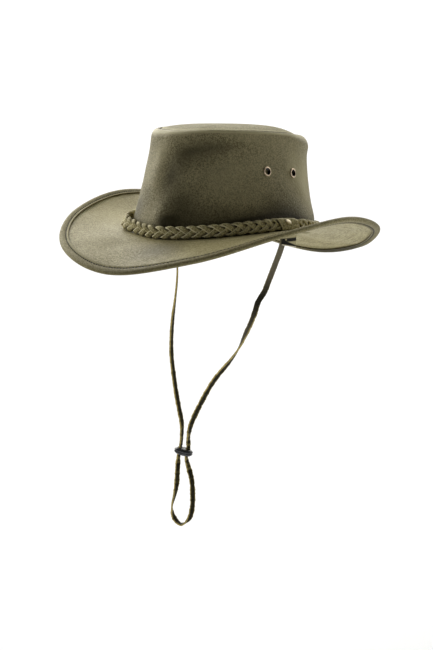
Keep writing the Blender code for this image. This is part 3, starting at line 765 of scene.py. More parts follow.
def stitch_row(name, line, out, thread):
    """Short threads along a closed line of points, each with its ends sunk into the leather."""
    closed_line = np.concatenate([line, line[:1]])
    closed_out = np.concatenate([out, out[:1]])
    distances = walked(closed_line)
    total = distances[-1]
    count = int(total / STITCH_PITCH)
    starts = np.arange(count) * total / count
    verts, faces = [], []
    for step in np.linspace(0, 1, STITCH_RINGS):
        here = starts + STITCH_LENGTH * step
        further = here + STITCH_PITCH * 0.2
        centre = read_along(here % total, distances, closed_line)
        up = unit(read_along(here % total, distances, closed_out))
        ahead = unit(read_along(further % total, distances, closed_line) - centre)
        side = np.cross(ahead, up)
        lift = THREAD * (0.9 * np.sin(np.pi * step) - 0.35)
        thick = THREAD * (0.55 + 0.45 * np.sin(np.pi * step))
        for turn in np.linspace(0, 2 * np.pi, STITCH_SIDES, endpoint=False):
            verts.append(centre + up * lift + (up * np.sin(turn) + side * np.cos(turn)) * thick)
    stack = np.stack(verts, axis=1).reshape(-1, 3)
    for first in range(0, len(stack), STITCH_RINGS * STITCH_SIDES):
        last = first + (STITCH_RINGS - 1) * STITCH_SIDES
        for ring in range(first, last, STITCH_SIDES):
            for turn in range(STITCH_SIDES):
                a, b = ring + turn, ring + (turn + 1) % STITCH_SIDES
                faces.append((a, b, b + STITCH_SIDES, a + STITCH_SIDES))
        faces.append(tuple(reversed(range(first, first + STITCH_SIDES))))
        faces.append(tuple(range(last, last + STITCH_SIDES)))
    mesh = bpy.data.meshes.new(name)
    mesh.from_pydata(stack.tolist(), [], faces)
    return add_piece(name, mesh, thread)


edge_thread = waxed_thread("edge_thread", (0.034, 0.030, 0.019))
for side_name, sign in (("top", 1), ("under", -1)):
    groove = across_binding(groove_at, sign * (BINDING_OUTER - STITCH_GROOVE * 0.6))
    raised = across_binding(groove_at, sign * (BINDING_OUTER + 0.001))
    stitch_row(f"edge_stitches_{side_name}", groove, unit(raised - groove), edge_thread)

# Eyelets
# Four small metal eyelets with the colour of old copper, two on each side of the crown, for air.
# Each was pressed through a punched hole, and its barrel rolled over against the inside.
EYELET_DIAMETER = 0.0095
EYELET_BORE = 0.006
EYELET_WALL = 0.0005
EYELET_FLANGE = 0.0009
EYELET_SPACING = 0.0392
EYELET_FROM_MIDDLE = 0.0027
EYELET_HEIGHT = 0.0582
EYELET_DROP = 0.0031
EYELET_SIDES = 48
BORE_SHADE_BLACK = (0.012, 0.010, 0.008)


def eyelet_places():
    """Name, place on the wall and direction of each eyelet."""
    places = []
    for side, sign in (("left", 1), ("right", -1)):
        for end, share in (("front", -0.5), ("back", 0.5)):
            height = EYELET_HEIGHT - EYELET_DROP * share
            aim = EYELET_SPACING * share - EYELET_FROM_MIDDLE
            tries = np.linspace(20, 160, 2801)
            reached = crown_outline(sign * tries, np.full_like(tries, height))[:, 1]
            angle = sign * tries[np.argmin(np.abs(reached - aim))]
            place = crown_outline(angle, height)
            around = crown_outline(angle + 1, height) - crown_outline(angle - 1, height)
            above = crown_outline(angle, height + EYELET_BORE / 4) - place
            places.append((f"eyelet_{side}_{end}", place, unit(np.cross(around, above))))
    return places


def turned(name, profile, sides, hollow=True, values=None):
    """A profile of (radius, height) turned round Z: a ring where hollow, else a closed solid."""
    turns = np.linspace(0, 2 * np.pi, sides, endpoint=False)
    rings = np.stack([points(r * np.cos(turns), r * np.sin(turns), h) for r, h in profile])
    return skin(name, rings, round_trip=hollow, capped=not hollow, values=values)


def stand_on(mesh, place, out):
    turn = Vector(out).to_track_quat("Z", "Y").to_matrix().to_4x4()
    mesh.transform(Matrix.Translation(Vector(place)) @ turn)
    return mesh


def aged_metal(name, bright, dull, roughness):
    """Plated metal with dull tarnish in small spots, painted black for shade where its attribute says so.
    """
    metal = Finish(name)
    tarnish = metal.noise(900.0, 4.0, 0.65)
    ramp = metal.node("ShaderNodeValToRGB")
    for stop, position, tone in zip(ramp.color_ramp.elements, (0.36, 0.62), (dull, bright)):
        stop.position = position
        stop.color = (*tone, 1)
    metal.fill(ramp.inputs["Fac"], tarnish)
    return metal.dressed({
        "Base Color": metal.mixed(metal.attribute("bore_shade"), ramp.outputs["Color"], BORE_SHADE_BLACK),
        "Metallic": 1.0,
        "Roughness": metal.ranged(tarnish, roughness + 0.22, roughness),
        "Normal": metal.relief(tarnish, 0.25, 0.0001),
    })


old_copper = aged_metal("old_copper", (0.80, 0.67, 0.51), (0.46, 0.34, 0.23), 0.30)
bore, barrel = EYELET_BORE / 2, EYELET_BORE / 2 + EYELET_WALL
back_rim = EYELET_DIAMETER * 0.45
back = -CROWN_LEATHER - 2 * CLEARANCE
flange_middle, flange_half = (EYELET_DIAMETER / 2 + bore) / 2, (EYELET_DIAMETER / 2 - bore) / 2
eyelet_profile = [
    (bore, back - EYELET_FLANGE * 0.3),
    (bore + 0.0004, back - EYELET_FLANGE / 2),
    (back_rim - 0.0003, back - EYELET_FLANGE / 2),
    (back_rim, back - EYELET_FLANGE * 0.2),
    (back_rim, back),
    (barrel, back),
    (barrel, CLEARANCE),
    (flange_middle + flange_half, CLEARANCE),
]
for turn in np.radians(np.linspace(0, 180, 9)):
    rolled = EYELET_FLANGE * (0.25 + 0.75 * math.sin(turn))
    eyelet_profile.append((flange_middle + flange_half * math.cos(turn), CLEARANCE + rolled))
eyelet_profile.append((bore, CLEARANCE * 0.5))
# The bore is painted black for the shade inside it.
bore_shade = [min(max((bore + 0.0006 - radius) / 0.0003, 0), 1) for radius, height in eyelet_profile]
bore_shade = np.array(bore_shade)[:, None] * np.ones(EYELET_SIDES)
punches = []
for name, place, out in eyelet_places():
    ring_mesh = turned(f"{name}_ring", eyelet_profile, EYELET_SIDES, values={"bore_shade": bore_shade})
    stand_on(ring_mesh, place, out)
    eyelet_ring = add_piece(f"{name}_ring", ring_mesh, old_copper, sharp=50)
    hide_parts(name)
    hole = [(barrel + CLEARANCE, -4 * CROWN_LEATHER), (barrel + CLEARANCE, 4 * CROWN_LEATHER)]
    punch_mesh = stand_on(turned("punch", hole, 36, hollow=False), place, out)
    punches.append(bpy.data.objects.new("punch", punch_mesh))


def cut_holes(piece, cutters, sharp):
    """Cuts every cutter out of a piece, and keeps only the cut mesh."""
    for cutter in cutters:
        bpy.context.scene.collection.objects.link(cutter)
        step = piece.modifiers.new("cut", "BOOLEAN")
        step.object = cutter
        step.solver = "EXACT"
    finished = piece.evaluated_get(bpy.context.evaluated_depsgraph_get())
    mesh = bpy.data.meshes.new_from_object(finished)
    piece.modifiers.clear()
    piece.data = mesh
    mesh.shade_smooth()
    mesh.set_sharp_from_angle(angle=math.radians(sharp))
    for cutter in cutters:
        bpy.data.objects.remove(cutter, do_unlink=True)


cut_holes(crown_wall, punches, sharp=60)

# Plaited band
# A flat plait of three laces that lies round the foot of the crown. The grain side shows where a
# lace crosses over, its cut edges are paler, and both edges of the plait are rows of loops.
BAND_WIDTH = 0.0122
BAND_THICKNESS = 0.0055
PLAIT_PITCH = 0.0109
LACE_THICKNESS = 0.0017
LACE_CROWN = 0.0003
LACE_FILL = 0.88
LACE_DEPTH = 0.0013
LACE_LAP = 0.32
LOOP_ROUND = 0.30
PLAIT_UNEVEN = 0.0007
# Where painted light lightens the band, and how far it spreads.
BAND_LIT_AT = 303
BAND_LIT_SPREAD = 16
BAND_STEPS = 1440
LACE_STEPS = 44
LACE_UNEVEN = 0.12
KEEPER_LENGTH = 0.025
KEEPER_FROM_MIDDLE = 0.009
KEEPER_SHIFT = 0.9
KEEPER_LEATHER = 0.001
KEEPER_SHEAR = 0.65
KEEPER_SIDES = 40
KEEPER_SQUARENESS = 3.4
KEEPER_PRESSED = 0.0002
KEEPER_ROUNDED = 0.00025

# Where the band has slackened: it stands off the wall, leans, and is drawn a little narrower. A
# lean above 0 is where its lower edge kicks out.
Slack = namedtuple("Slack", "angle spread slack lean narrow")
BAND_SLACK = [
    Slack(324, 12, 0.43, 26, -0.10),
    Slack(118, 18, 0.10, 0, 0.24),
]


def slackened(angle, name):
    total = np.zeros_like(angle)
    for row in BAND_SLACK:
        total = total + getattr(row, name) * spot(turned_from(angle, row.angle) / row.spread)
    return total


def band_frame(angle, depth=BAND_THICKNESS):
    """Where the band lies: the middle of its inner face, with the directions out of it and up it."""
    lean = np.radians(slackened(angle, "lean"))
    half_tall = BAND_WIDTH / 2 * (1 - slackened(angle, "narrow"))
    slack = BAND_THICKNESS * slackened(angle, "slack") + half_tall * np.abs(np.sin(lean))
    near, far = CROWN_LEATHER + slack, CROWN_LEATHER + slack + depth
    lift = brim_top_height(angle, near) * 0.6 + brim_top_height(angle, far) * 0.4
    height = lift + CLEARANCE + half_tall * np.cos(lean) + depth * np.maximum(-np.sin(lean), 0)
    place = crown_outline(angle, height)
    above = crown_outline(angle, height + BAND_WIDTH / 4)
    below = crown_outline(angle, height - BAND_WIDTH / 4)
    up = unit(above - below)
    around = crown_outline(angle + 1, height) - crown_outline(angle - 1, height)
    out = unit(np.cross(around, up))
    place = place + out * slack[..., None]
    along_out, along_up = np.cos(lean)[..., None], np.sin(lean)[..., None]
    return place, out * along_out + up * along_up, up * along_out - out * along_up


keeper_angle = math.degrees(math.acos(KEEPER_FROM_MIDDLE / (HEAD_LENGTH / 2))) + KEEPER_SHIFT
held_depth = BAND_THICKNESS - 2 * KEEPER_LEATHER
held_height = BAND_WIDTH - 2 * KEEPER_LEATHER - 2 * CLEARANCE
held_off = KEEPER_LEATHER + 2 * CLEARANCE


def keeper_squeeze(angle):
    """1 where the keeper holds the plait, falling to 0 just outside it."""
    away = np.abs(np.radians(angle - keeper_angle)) * HEAD_LENGTH / 2
    beyond = away - KEEPER_LENGTH / 2 - KEEPER_SHEAR * held_height / 2
    free = np.clip(beyond / (BAND_THICKNESS / 2), 0, 1)
    return 1 - free * free * (3 - 2 * free)


turns = np.linspace(0, 360, BAND_STEPS + 1)
band_places, band_outs, band_ups = band_frame(turns)
middle_line = band_places + band_outs * (CLEARANCE + BAND_THICKNESS / 2)
reached = walked(middle_line)
periods = round(reached[-1] / PLAIT_PITCH / 3)
period = reached[-1] / periods

# One lace goes from edge to edge of the plait along a lying figure of eight.
phases = np.linspace(0, 2 * np.pi, BAND_STEPS + 1)
reach_across = BAND_WIDTH / 2 - LACE_THICKNESS / 2
eight = np.stack([reach_across * np.sin(phases), -LACE_DEPTH * np.sin(2 * phases)], axis=-1)
eight_reached = walked(eight)
slant = math.atan2(eight_reached[-1], period)
lace_width = period / 3 * math.sin(slant) * LACE_FILL


def lace_surface(along, across, start):
    """Distance round the band, height in the plait and depth of a point on a lace."""
    distance = along * math.cos(slant) - across * math.sin(slant) + start
    distance = distance + PLAIT_UNEVEN * np.sin(along * 61 + start * 700)
    path = along * math.sin(slant) + across * math.cos(slant)
    phase = np.interp(path % eight_reached[-1], eight_reached, phases)
    offside = across / (lace_width / 2)
    loop = 1 - LOOP_ROUND * offside**2 * np.sin(phase) ** 4
    height = reach_across * np.sin(phase) * loop
    lap = LACE_LAP * across / math.sin(slant) * np.cos(phase) ** 4
    return points(distance, height, -LACE_DEPTH * np.sin(2 * phase) + lap)


def lace_on_hat(flat):
    """Bends a flat plait round the hat, and squeezes it where the keeper holds it."""
    angle = np.interp(flat[..., 0] % reached[-1], reached, turns)
    place, out, up = [read_along(angle, turns, table) for table in (band_places, band_outs, band_ups)]
    squeeze = keeper_squeeze(angle)
    height = flat[..., 1] * (1 + (held_height / BAND_WIDTH - 1) * squeeze)
    height = height * (1 - slackened(angle, "narrow"))
    depth = flat[..., 2] * (1 + (held_depth / (BAND_THICKNESS * 0.95) - 1) * squeeze)
    off = CLEARANCE + BAND_THICKNESS / 2
    off = off + (held_off + held_depth / 2 - off) * squeeze
    return place + up * height[..., None] + out * (off + depth)[..., None]


lace_length = math.hypot(period, eight_reached[-1]) * periods
stations = np.linspace(0, lace_length, periods * LACE_STEPS, endpoint=False)
edge_turn = np.radians([90, 45, 0, -45, -90])
round_edge = LACE_THICKNESS * 0.45
flat_half = lace_width / 2 - round_edge
flat_shares = [-0.97, -0.8, -0.5, -0.2, 0.2, 0.5, 0.8, 0.97]
section = [(share * flat_half, 0.5, 0.0) for share in flat_shares]
section += [(flat_half + round_edge * math.cos(t), 0.5 * math.sin(t), 1.0) for t in edge_turn]
section += [(share * flat_half, -0.5, 0.0) for share in reversed(flat_shares)]
section += [(-flat_half - round_edge * math.cos(t), 0.5 * math.sin(t), 1.0) for t in reversed(edge_turn)]
band_leather = leather(
    "band_leather",
    light=(0.600, 0.538, 0.290),
    dark=(0.215, 0.185, 0.086),
    pale_and_lit=(0.760, 0.700, 0.450),
    grain=0.00045,
    rough=(0.52, 0.70),
    fine=760,
)
laces = []
keeper_at = np.interp(keeper_angle, turns, reached)
for strand in range(3):
    rows, wear_and_shade = [], []
    for across, side, worn_here in section:
        here = np.full_like(stations, across)
        start = period * strand / 3
        step = 0.0002
        flat = lace_surface(stations, here, start)
        along = lace_surface(stations + step, here, start) - lace_surface(stations - step, here, start)
        over = lace_surface(stations, here + step, start) - lace_surface(stations, here - step, start)
        thick = LACE_THICKNESS + 2 * LACE_CROWN * (1 - (across / (lace_width / 2)) ** 2)
        thick = thick * (1 + LACE_UNEVEN * np.sin(stations * 83 + strand * 2))
        rows.append(lace_on_hat(flat + unit(np.cross(along, over)) * side * thick[:, None]))
        # Painted shade darkens the side of a lace that lies under its neighbour, its hidden run, and the
        # plait beside the keeper's ends. Near the wearer's right front, painted light takes that shade
        # away and lightens the laces.
        hidden = np.clip(flat[:, 2] / -LACE_DEPTH + 0.1, 0, 1)
        tucked = np.clip(-across / (lace_width / 2) - 0.25, 0, 1) * 1.3
        beside = flat[:, 0] + KEEPER_SHEAR * flat[:, 1] - keeper_at
        shaded = 1.5 * spot((np.abs(beside) - KEEPER_LENGTH / 2 - 0.0007) / 0.0014)
        painted_shade = np.maximum(np.maximum(hidden, tucked) * 0.9, shaded)
        angle = np.interp(flat[:, 0] % reached[-1], reached, turns)
        lit_here = spot((angle - BAND_LIT_AT) / BAND_LIT_SPREAD)
        wear_and_shade.append(worn_here * (across > 0) - painted_shade * (1 - lit_here) + 0.6 * lit_here)
    rings = np.stack(rows, axis=1)
    mesh = skin(f"plait_lace_{strand + 1}", rings, values={"wear_and_shading": np.stack(wear_and_shade, axis=1)})
    laces.append(add_piece(f"plait_lace_{strand + 1}", mesh, band_leather))
for lace in laces:
    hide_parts("hat_band")

# Keeper and its rivet
# A short loop of the same leather, drawn tight over the joint of the plait at the wearer's left.
# Its ends lap behind, and a small oval brass rivet, worn pale, holds it.
RIVET_DIAMETER = 0.0054
RIVET_HEIGHT = 0.0012
RIVET_LONG = 1.55
RIVET_NARROW = 0.78
RIVET_SLANT = math.radians(-24)


def keeper_loop(angle, thickness):
    place, out, up = band_frame(np.array([angle]))
    centre = (place + out * (held_off + held_depth / 2))[0]
    tall, deep = held_height / 2 + thickness, held_depth / 2 + thickness
    turn = np.linspace(0, 2 * np.pi, KEEPER_SIDES, endpoint=False)
    size = np.abs(np.cos(turn)) ** KEEPER_SQUARENESS + np.abs(np.sin(turn)) ** KEEPER_SQUARENESS
    size = size ** (-1 / KEEPER_SQUARENESS)
    raised, outwards = tall * np.cos(turn) * size, deep * np.sin(turn) * size
    # Its ends are cut on a slant, the upper corner towards the front of the hat.
    slanted = up[0] - np.cross(up[0], out[0]) * KEEPER_SHEAR
    return centre + slanted * raised[:, None] + out[0] * outwards[:, None]


half_turn = math.degrees(KEEPER_LENGTH / HEAD_LENGTH)
keeper_rings, keeper_worn = [], []
keeper_face = CLEARANCE + KEEPER_LEATHER
for share in np.linspace(-1, 1, 41):
    near_end = 1 - abs(share)
    pressed = KEEPER_PRESSED * spot((near_end - 0.14) / 0.035)
    edge_round = KEEPER_ROUNDED * max(1 - near_end / 0.05, 0)
    keeper_rings.append(keeper_loop(keeper_angle + half_turn * share, keeper_face - pressed - edge_round))
    keeper_worn.append(1.0 if near_end < 0.08 else 0.0)
for share in np.linspace(1, -1, 9):
    keeper_rings.append(keeper_loop(keeper_angle + half_turn * share, CLEARANCE))
    keeper_worn.append(0.8 if abs(share) > 0.99 else 0.0)
wear_and_shading = np.array(keeper_worn)[:, None] * np.ones(KEEPER_SIDES)
keeper_mesh = skin("keeper_loop", np.stack(keeper_rings), values={"wear_and_shading": wear_and_shading})
keeper = add_piece("keeper_loop", keeper_mesh, band_leather, sharp=50)
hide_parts("band_keeper")

pale_brass = aged_metal("pale_brass", (0.95, 0.87, 0.68), (0.78, 0.69, 0.50), 0.36)
rivet_half = RIVET_DIAMETER / 2
dome = [(rivet_half * 0.9, 0.0), (rivet_half, RIVET_HEIGHT * 0.12), (rivet_half, RIVET_HEIGHT * 0.28)]
for turn in np.radians(np.linspace(15, 84, 8)):
    dome.append((rivet_half * math.cos(turn), RIVET_HEIGHT * (0.28 + 0.72 * math.sin(turn))))
place, out, up = [part[0] for part in band_frame(np.array([keeper_angle - 1.5]))]
face = held_off + held_depth + 2 * CLEARANCE + KEEPER_LEATHER
rivet_mesh = turned("rivet_dome", dome, 40, hollow=False)
rivet_mesh.transform(Matrix.Diagonal((RIVET_LONG, RIVET_NARROW, 1, 1)))
rivet_mesh.transform(Matrix.Rotation(RIVET_SLANT, 4, "Z"))
stand_on(rivet_mesh, place + out * face + up * BAND_WIDTH * 0.15, out)
rivet = add_piece("rivet_dome", rivet_mesh, pale_brass)
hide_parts("keeper_rivet")

# Small tag
# A folded strip of black woven ribbon, sewn inside the wall at the wearer's left so that its end
# hangs out of the head opening. Its face is bare. Its upper part and the fold across its middle
# show the pale back of the weave, it hangs lower at the back, and a pale thread hems it.
TAG_WIDTH = 0.0245
TAG_DROP = 0.0132
TAG_TAIL = 0.004
TAG_THICKNESS = 0.0006
TAG_FROM_MIDDLE = 0.0035
TAG_SLANT = 0.0046
TAG_FOLD_FROM = 0.34
TAG_TACK_AT = 0.25
TAG_WAVE = 0.0002
TAG_TACK_DROP = 0.0071
TAG_PALE_DROP = 0.0060
TAG_CREASE_DROP = 0.0088
TAG_CREASE_SLANT = 0.0016
TAG_CREASE_OPEN = 0.0018
HEM_THREAD = 0.00055


def ribbon(name, colour, dark, reverse):
    """A close satin weave of fine ribs both ways. Its back shows where "pale" is 1."""
    cloth = Finish(name)
    ribs = cloth.wave(700.0, 0.6, bands_direction="Y")
    weave = cloth.maths("MULTIPLY", ribs, cloth.wave(900.0, 0.4, bands_direction="Z"))
    return cloth.dressed({
        "Base Color": cloth.mixed(cloth.attribute("pale"), cloth.mixed(weave, dark, colour), reverse),
        "Normal": cloth.relief(weave, 0.5, 0.00015),
        "Roughness": 0.8,
        "Specular IOR Level": 0.2,
    })


tag_middle = 90 + math.degrees(TAG_FROM_MIDDLE / (HEAD_LENGTH / 2))
tag_half_turn = math.degrees(TAG_WIDTH / HEAD_LENGTH)
tag_heights = np.concatenate([np.linspace(TAG_TAIL, -TAG_DROP * 0.96, 40), [-TAG_DROP * 0.985, -TAG_DROP]])


def tag_share(angle):
    """From 0 at the tag's front edge to 1 at its back edge."""
    return (angle - tag_middle) / tag_half_turn / 2 + 0.5


def tag_line(inset, angle, heights):
    out = plan_normal(angle)
    place = oval(angle, HEAD_WIDTH / 2, HEAD_LENGTH / 2) - out * inset
    share = tag_share(angle)
    hanging = np.clip(-heights / TAG_DROP, 0, 1)
    wave = TAG_WAVE * np.sin(np.radians(18 * angle)) * hanging
    line = place + points(0.0, 0.0, heights - TAG_SLANT * (share - 0.4) * hanging**2)
    return line + out * (-np.abs(wave))[:, None]


def tag_pale(angle, heights):
    """1 where the pale back of the ribbon shows: above its fold, and in the crease across it."""
    share = tag_share(angle)
    above = np.clip((heights + TAG_PALE_DROP) / 0.0005, 0, 1)
    middle = -TAG_CREASE_DROP - TAG_CREASE_SLANT * share
    half_open = TAG_CREASE_OPEN * np.clip((share - TAG_FOLD_FROM) / (1 - TAG_FOLD_FROM), -0.2, 1)
    crease = np.clip((half_open - np.abs(heights - middle)) / 0.0004 + 0.5, 0, 1)
    tack = 1.4 - np.hypot((share - TAG_TACK_AT) / 0.055, (heights + TAG_TACK_DROP) / 0.0011)
    return np.maximum(np.maximum(above, crease), np.clip(tack, 0, 1))


tag_rings, tag_tone = [], []
for angle in np.linspace(tag_middle - tag_half_turn, tag_middle + tag_half_turn, 49):
    outer = tag_line(2 * CLEARANCE, angle, tag_heights)
    inner = tag_line(2 * CLEARANCE + TAG_THICKNESS, angle, tag_heights[::-1])
    tag_rings.append(np.concatenate([outer, inner]))
    tag_tone.append(np.concatenate([tag_pale(angle, tag_heights), tag_pale(angle, tag_heights[::-1])]))
tag_values = {"pale": np.stack(tag_tone)}
tag_mesh = skin("bare_tag", np.stack(tag_rings), round_trip=False, capped=True, values=tag_values)
dark_ribbon = ribbon("dark_ribbon", (0.008, 0.007, 0.003), (0.002, 0.002, 0.001), (0.400, 0.360, 0.210))
tag = add_piece("bare_tag", tag_mesh, dark_ribbon)
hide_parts("size_tag")

hem_thread = waxed_thread("hem_thread", (0.62, 0.56, 0.42))
hem_angles = np.linspace(tag_middle - tag_half_turn * 0.98, tag_middle + tag_half_turn * 0.98, 50)
hem_rings = []
for angle in hem_angles:
    out = plan_normal(angle)
    centre = oval(angle, HEAD_WIDTH / 2, HEAD_LENGTH / 2) - out * (2 * CLEARANCE + TAG_THICKNESS / 2)
    centre[2] = -TAG_DROP - TAG_SLANT * (tag_share(angle) - 0.4)
    turn = np.linspace(0, 2 * np.pi, 12, endpoint=False)
    hem_rings.append(
        centre
        + out * (np.cos(turn) * (TAG_THICKNESS / 2 + HEM_THREAD * 0.6))[:, None]
        + points(0.0, 0.0, np.sin(turn) * HEM_THREAD)
    )
hem_mesh = skin("tag_hem", np.stack(hem_rings), round_trip=False, capped=True)
add_piece("tag_hem", hem_mesh, hem_thread)

# Chin strap
# One long lace cut from oiled hide, sewn inside the crown at both sides. It hangs down through
# the slider, turns in a loop under it and comes back up. It twists as it hangs.
CORD_DIAMETER = 0.004
LACE_WIDTH = 0.0058
LACE_EDGE = 0.0019
STRAP_STEP = 0.0009
SLIDER_LENGTH = 0.021
SLIDER_DEPTH = 0.012
SLIDER_HEIGHT = 0.0076
SLIDER_HOLE_SPACING = 0.0088
SLIDER_SLACK = 0.0006
SLIDER_TURN = math.radians(30)
SLIDER_TILT = math.radians(11)
SLIDER_PLACE = Vector((-0.0457, -0.0080, -0.2546))

LEFT_LEG = [
    (0.0777, -0.0030, 0.0150),
    (0.0778, -0.0030, 0.0020),
    (0.0770, -0.0030, -0.0120),
    (0.0691, -0.0033, -0.0334),
    (0.0616, -0.0035, -0.0516),
    (0.0573, -0.0036, -0.0619),
    (0.0496, -0.0037, -0.0737),
    (0.0458, -0.0038, -0.0851),
    (0.0411, -0.0040, -0.0968),
    (0.0342, -0.0041, -0.1103),
    (0.0278, -0.0043, -0.1232),
    (0.0189, -0.0044, -0.1365),
    (0.0081, -0.0046, -0.1496),
    (-0.0022, -0.0048, -0.1615),
    (-0.0122, -0.0049, -0.1754),
    (-0.0217, -0.0051, -0.1915),
    (-0.0303, -0.0053, -0.2073),
    (-0.0376, -0.0056, -0.2232),
    (-0.0407, -0.0058, -0.2373),
]
LOOP = [
    (-0.0405, -0.0048, -0.2732),
    (-0.0375, -0.0031, -0.2862),
    (-0.0362, -0.0025, -0.3018),
    (-0.0364, -0.0026, -0.3200),
    (-0.0396, -0.0044, -0.3338),
    (-0.0472, -0.0086, -0.3408),
    (-0.0543, -0.0127, -0.3335),
    (-0.0566, -0.0141, -0.3220),
    (-0.0538, -0.0125, -0.3058),
    (-0.0520, -0.0115, -0.2922),
    (-0.0514, -0.0111, -0.2764),
]
RIGHT_LEG = [
    (-0.0477, -0.0092, -0.2390),
    (-0.0487, -0.0080, -0.2230),
    (-0.0540, -0.0069, -0.2071),
    (-0.0595, -0.0057, -0.1908),
    (-0.0652, -0.0042, -0.1703),
    (-0.0700, -0.0026, -0.1498),
    (-0.0718, -0.0009, -0.1288),
    (-0.0715, 0.0008, -0.1074),
    (-0.0700, 0.0027, -0.0861),
    (-0.0694, 0.0045, -0.0669),
    (-0.0704, 0.0057, -0.0500),
    (-0.0735, 0.0052, -0.0300),
    (-0.0768, 0.0035, -0.0120),
    (-0.0778, 0.0030, 0.0020),
    (-0.0777, 0.0030, 0.0150),
]
# How the lace turns on its way: the share of its length, then the turn of its face in degrees,
# 0 where the face looks along STRAP_FACE and 90 where a cut edge does.
STRAP_FACE = Vector((0.634, -0.764, 0.118))
STRAP_TWIST = [
    (0.000, -50), (0.036, -18), (0.066, -16), (0.095, -6), (0.120, 8), (0.155, 35), (0.183, 60),
    (0.200, 90), (0.219, 115), (0.250, 145), (0.281, 150), (0.309, 160), (0.334, 165),
    (0.355, 150), (0.373, 120), (0.390, 160), (0.405, 125), (0.422, 150), (0.439, 160),
    (0.484, 165), (0.503, 140), (0.515, 90), (0.530, 50), (0.540, 60), (0.548, 90),
    (0.557, 80), (0.570, 60), (0.588, 30), (0.609, 25), (0.631, 50), (0.646, 60),
    (0.658, 65), (0.680, 50), (0.702, 42), (0.725, 45), (0.753, 50), (0.781, 52),
    (0.809, 58), (0.837, 65), (0.865, 84), (0.891, 87), (0.913, 90), (0.983, 50), (1.000, 50),
]


def slider_frame():
    turn = Matrix.Rotation(SLIDER_TURN, 4, "Z") @ Matrix.Rotation(SLIDER_TILT, 4, "Y")
    return Matrix.Translation(SLIDER_PLACE) @ turn


def through_slider(sign, directions):
    height = SLIDER_HEIGHT * 0.75
    return [slider_frame() @ Vector((sign * SLIDER_HOLE_SPACING / 2, 0, up * height)) for up in directions]


def even_line(route, step):
    """Points at even steps along a smooth curve through the route, with the share of each."""
    route = np.array([list(place) for place in route])
    lengths = walked(route)
    fine = np.linspace(0, lengths[-1], 8001)
    line = np.stack([curve_through(lengths, route[:, axis], fine) for axis in range(3)], axis=-1)
    distances = walked(line)
    shares = np.linspace(0, 1, round(distances[-1] / step) + 1)
    return read_along(shares * distances[-1], distances, line), shares


strap_route = LEFT_LEG + through_slider(1, (1, -1)) + LOOP + through_slider(-1, (-1, 1)) + RIGHT_LEG
strap_line, strap_shares = even_line(strap_route, STRAP_STEP)
ahead = unit(np.gradient(strap_line, axis=0))
towards = np.array(STRAP_FACE)
sideways = unit(np.cross(towards, ahead))
square = np.cross(ahead, sideways)
turn = np.radians(curve_through(*zip(*STRAP_TWIST), strap_shares))[:, None]
width_way = np.cos(turn) * sideways + np.sin(turn) * square
thick_way = np.cross(ahead, width_way)

# The lace narrows where it is drawn through the slider's holes.
slider_away = np.linalg.norm(strap_line - np.array(SLIDER_PLACE), axis=1)
drawn = np.clip((slider_away - 0.006) / 0.010, 0, 1)
lace_half = LACE_WIDTH / 2 * (0.80 + 0.20 * drawn)
# Its edges are crinkled, except where it leaves the hat at the wearer's left.
crinkled = np.clip((strap_shares - 0.06) / 0.12, 0.15, 1)
for waves, size in ((31, 0.045), (67, 0.05), (113, 0.05), (197, 0.045), (311, 0.035)):
    lace_half = lace_half * (1 + size * crinkled * np.sin(2 * np.pi * waves * strap_shares + waves))
# Half-widths across the lace, thicknesses up from its middle, and how worn it is there.
strap_section = [
    (-0.84, 0.50, 0.5), (-0.55, 0.50, 0.0), (0, 0.50, 0.0), (0.55, 0.50, 0.0), (0.84, 0.50, 0.5),
    (0.95, 0.42, 1.0), (1.0, 0.20, 1.0), (1.0, -0.20, 1.0), (0.95, -0.42, 1.0),
    (0.84, -0.50, 0.5), (0.55, -0.50, 0.0), (0, -0.50, 0.0), (-0.55, -0.50, 0.0), (-0.84, -0.50, 0.5),
    (-0.95, -0.42, 1.0), (-1.0, -0.20, 1.0), (-1.0, 0.20, 1.0), (-0.95, 0.42, 1.0),
]
strap_rings = np.stack(
    [
        strap_line + width_way * (lace_half * across)[:, None] + thick_way * (LACE_EDGE * deep)
        for across, deep, worn_here in strap_section
    ],
    axis=1,
)
edge_share = np.array([row[2] for row in strap_section])
strap_wear_and_shade = np.ones(len(strap_line))[:, None] * edge_share
strap_wear_and_shade *= np.clip((strap_shares - 0.03) / 0.10, 0.25, 1)[:, None]
# Painted shade darkens the lace a little way below the hat, where it turns away from the light.
strap_wear_and_shade -= 0.80 * spot((strap_shares - 0.122) / 0.019)[:, None]
near_slider = spot(slider_away / 0.024)
for waves, size in ((23, 0.10), (59, 0.16), (131, 0.18)):
    fleck = size * crinkled * np.sin(2 * np.pi * waves * strap_shares + waves)
    strap_wear_and_shade += fleck[:, None] * edge_share + (1.3 * fleck * near_slider)[:, None] * (1 - edge_share)
strap_dusty = np.zeros_like(strap_shares)
for middle, spread, dust in ((0.045, 0.030, 0.75), (0.165, 0.028, 0.38), (0.082, 0.020, 0.36)):
    strap_dusty += dust * spot((strap_shares - middle) / spread)
strap_leather = leather(
    "strap_leather",
    light=(0.032, 0.028, 0.013),
    dark=(0.004, 0.004, 0.002),
    grain=0.00025,
    pale_and_lit=(0.500, 0.400, 0.145),
    fine=1000,
    dust=(0.170, 0.152, 0.108),
    gloss=0.10,
    sheen=0.0,
)
strap_values = {"wear_and_shading": strap_wear_and_shade, "dusty": strap_dusty[:, None] * np.ones(len(strap_section))}
strap_mesh = skin("strap_lace", strap_rings, round_trip=False, capped=True, values=strap_values)
strap = add_piece("strap_lace", strap_mesh, strap_leather, sharp=70)
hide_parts("chin_cord")

# Slider
# A rounded black moulded button with a groove round its waist. Both runs of the lace pass
# through it, each in a hole of its own, so that it grips the lace where it is pushed.

SLIDER_SQUARENESS = 2.1
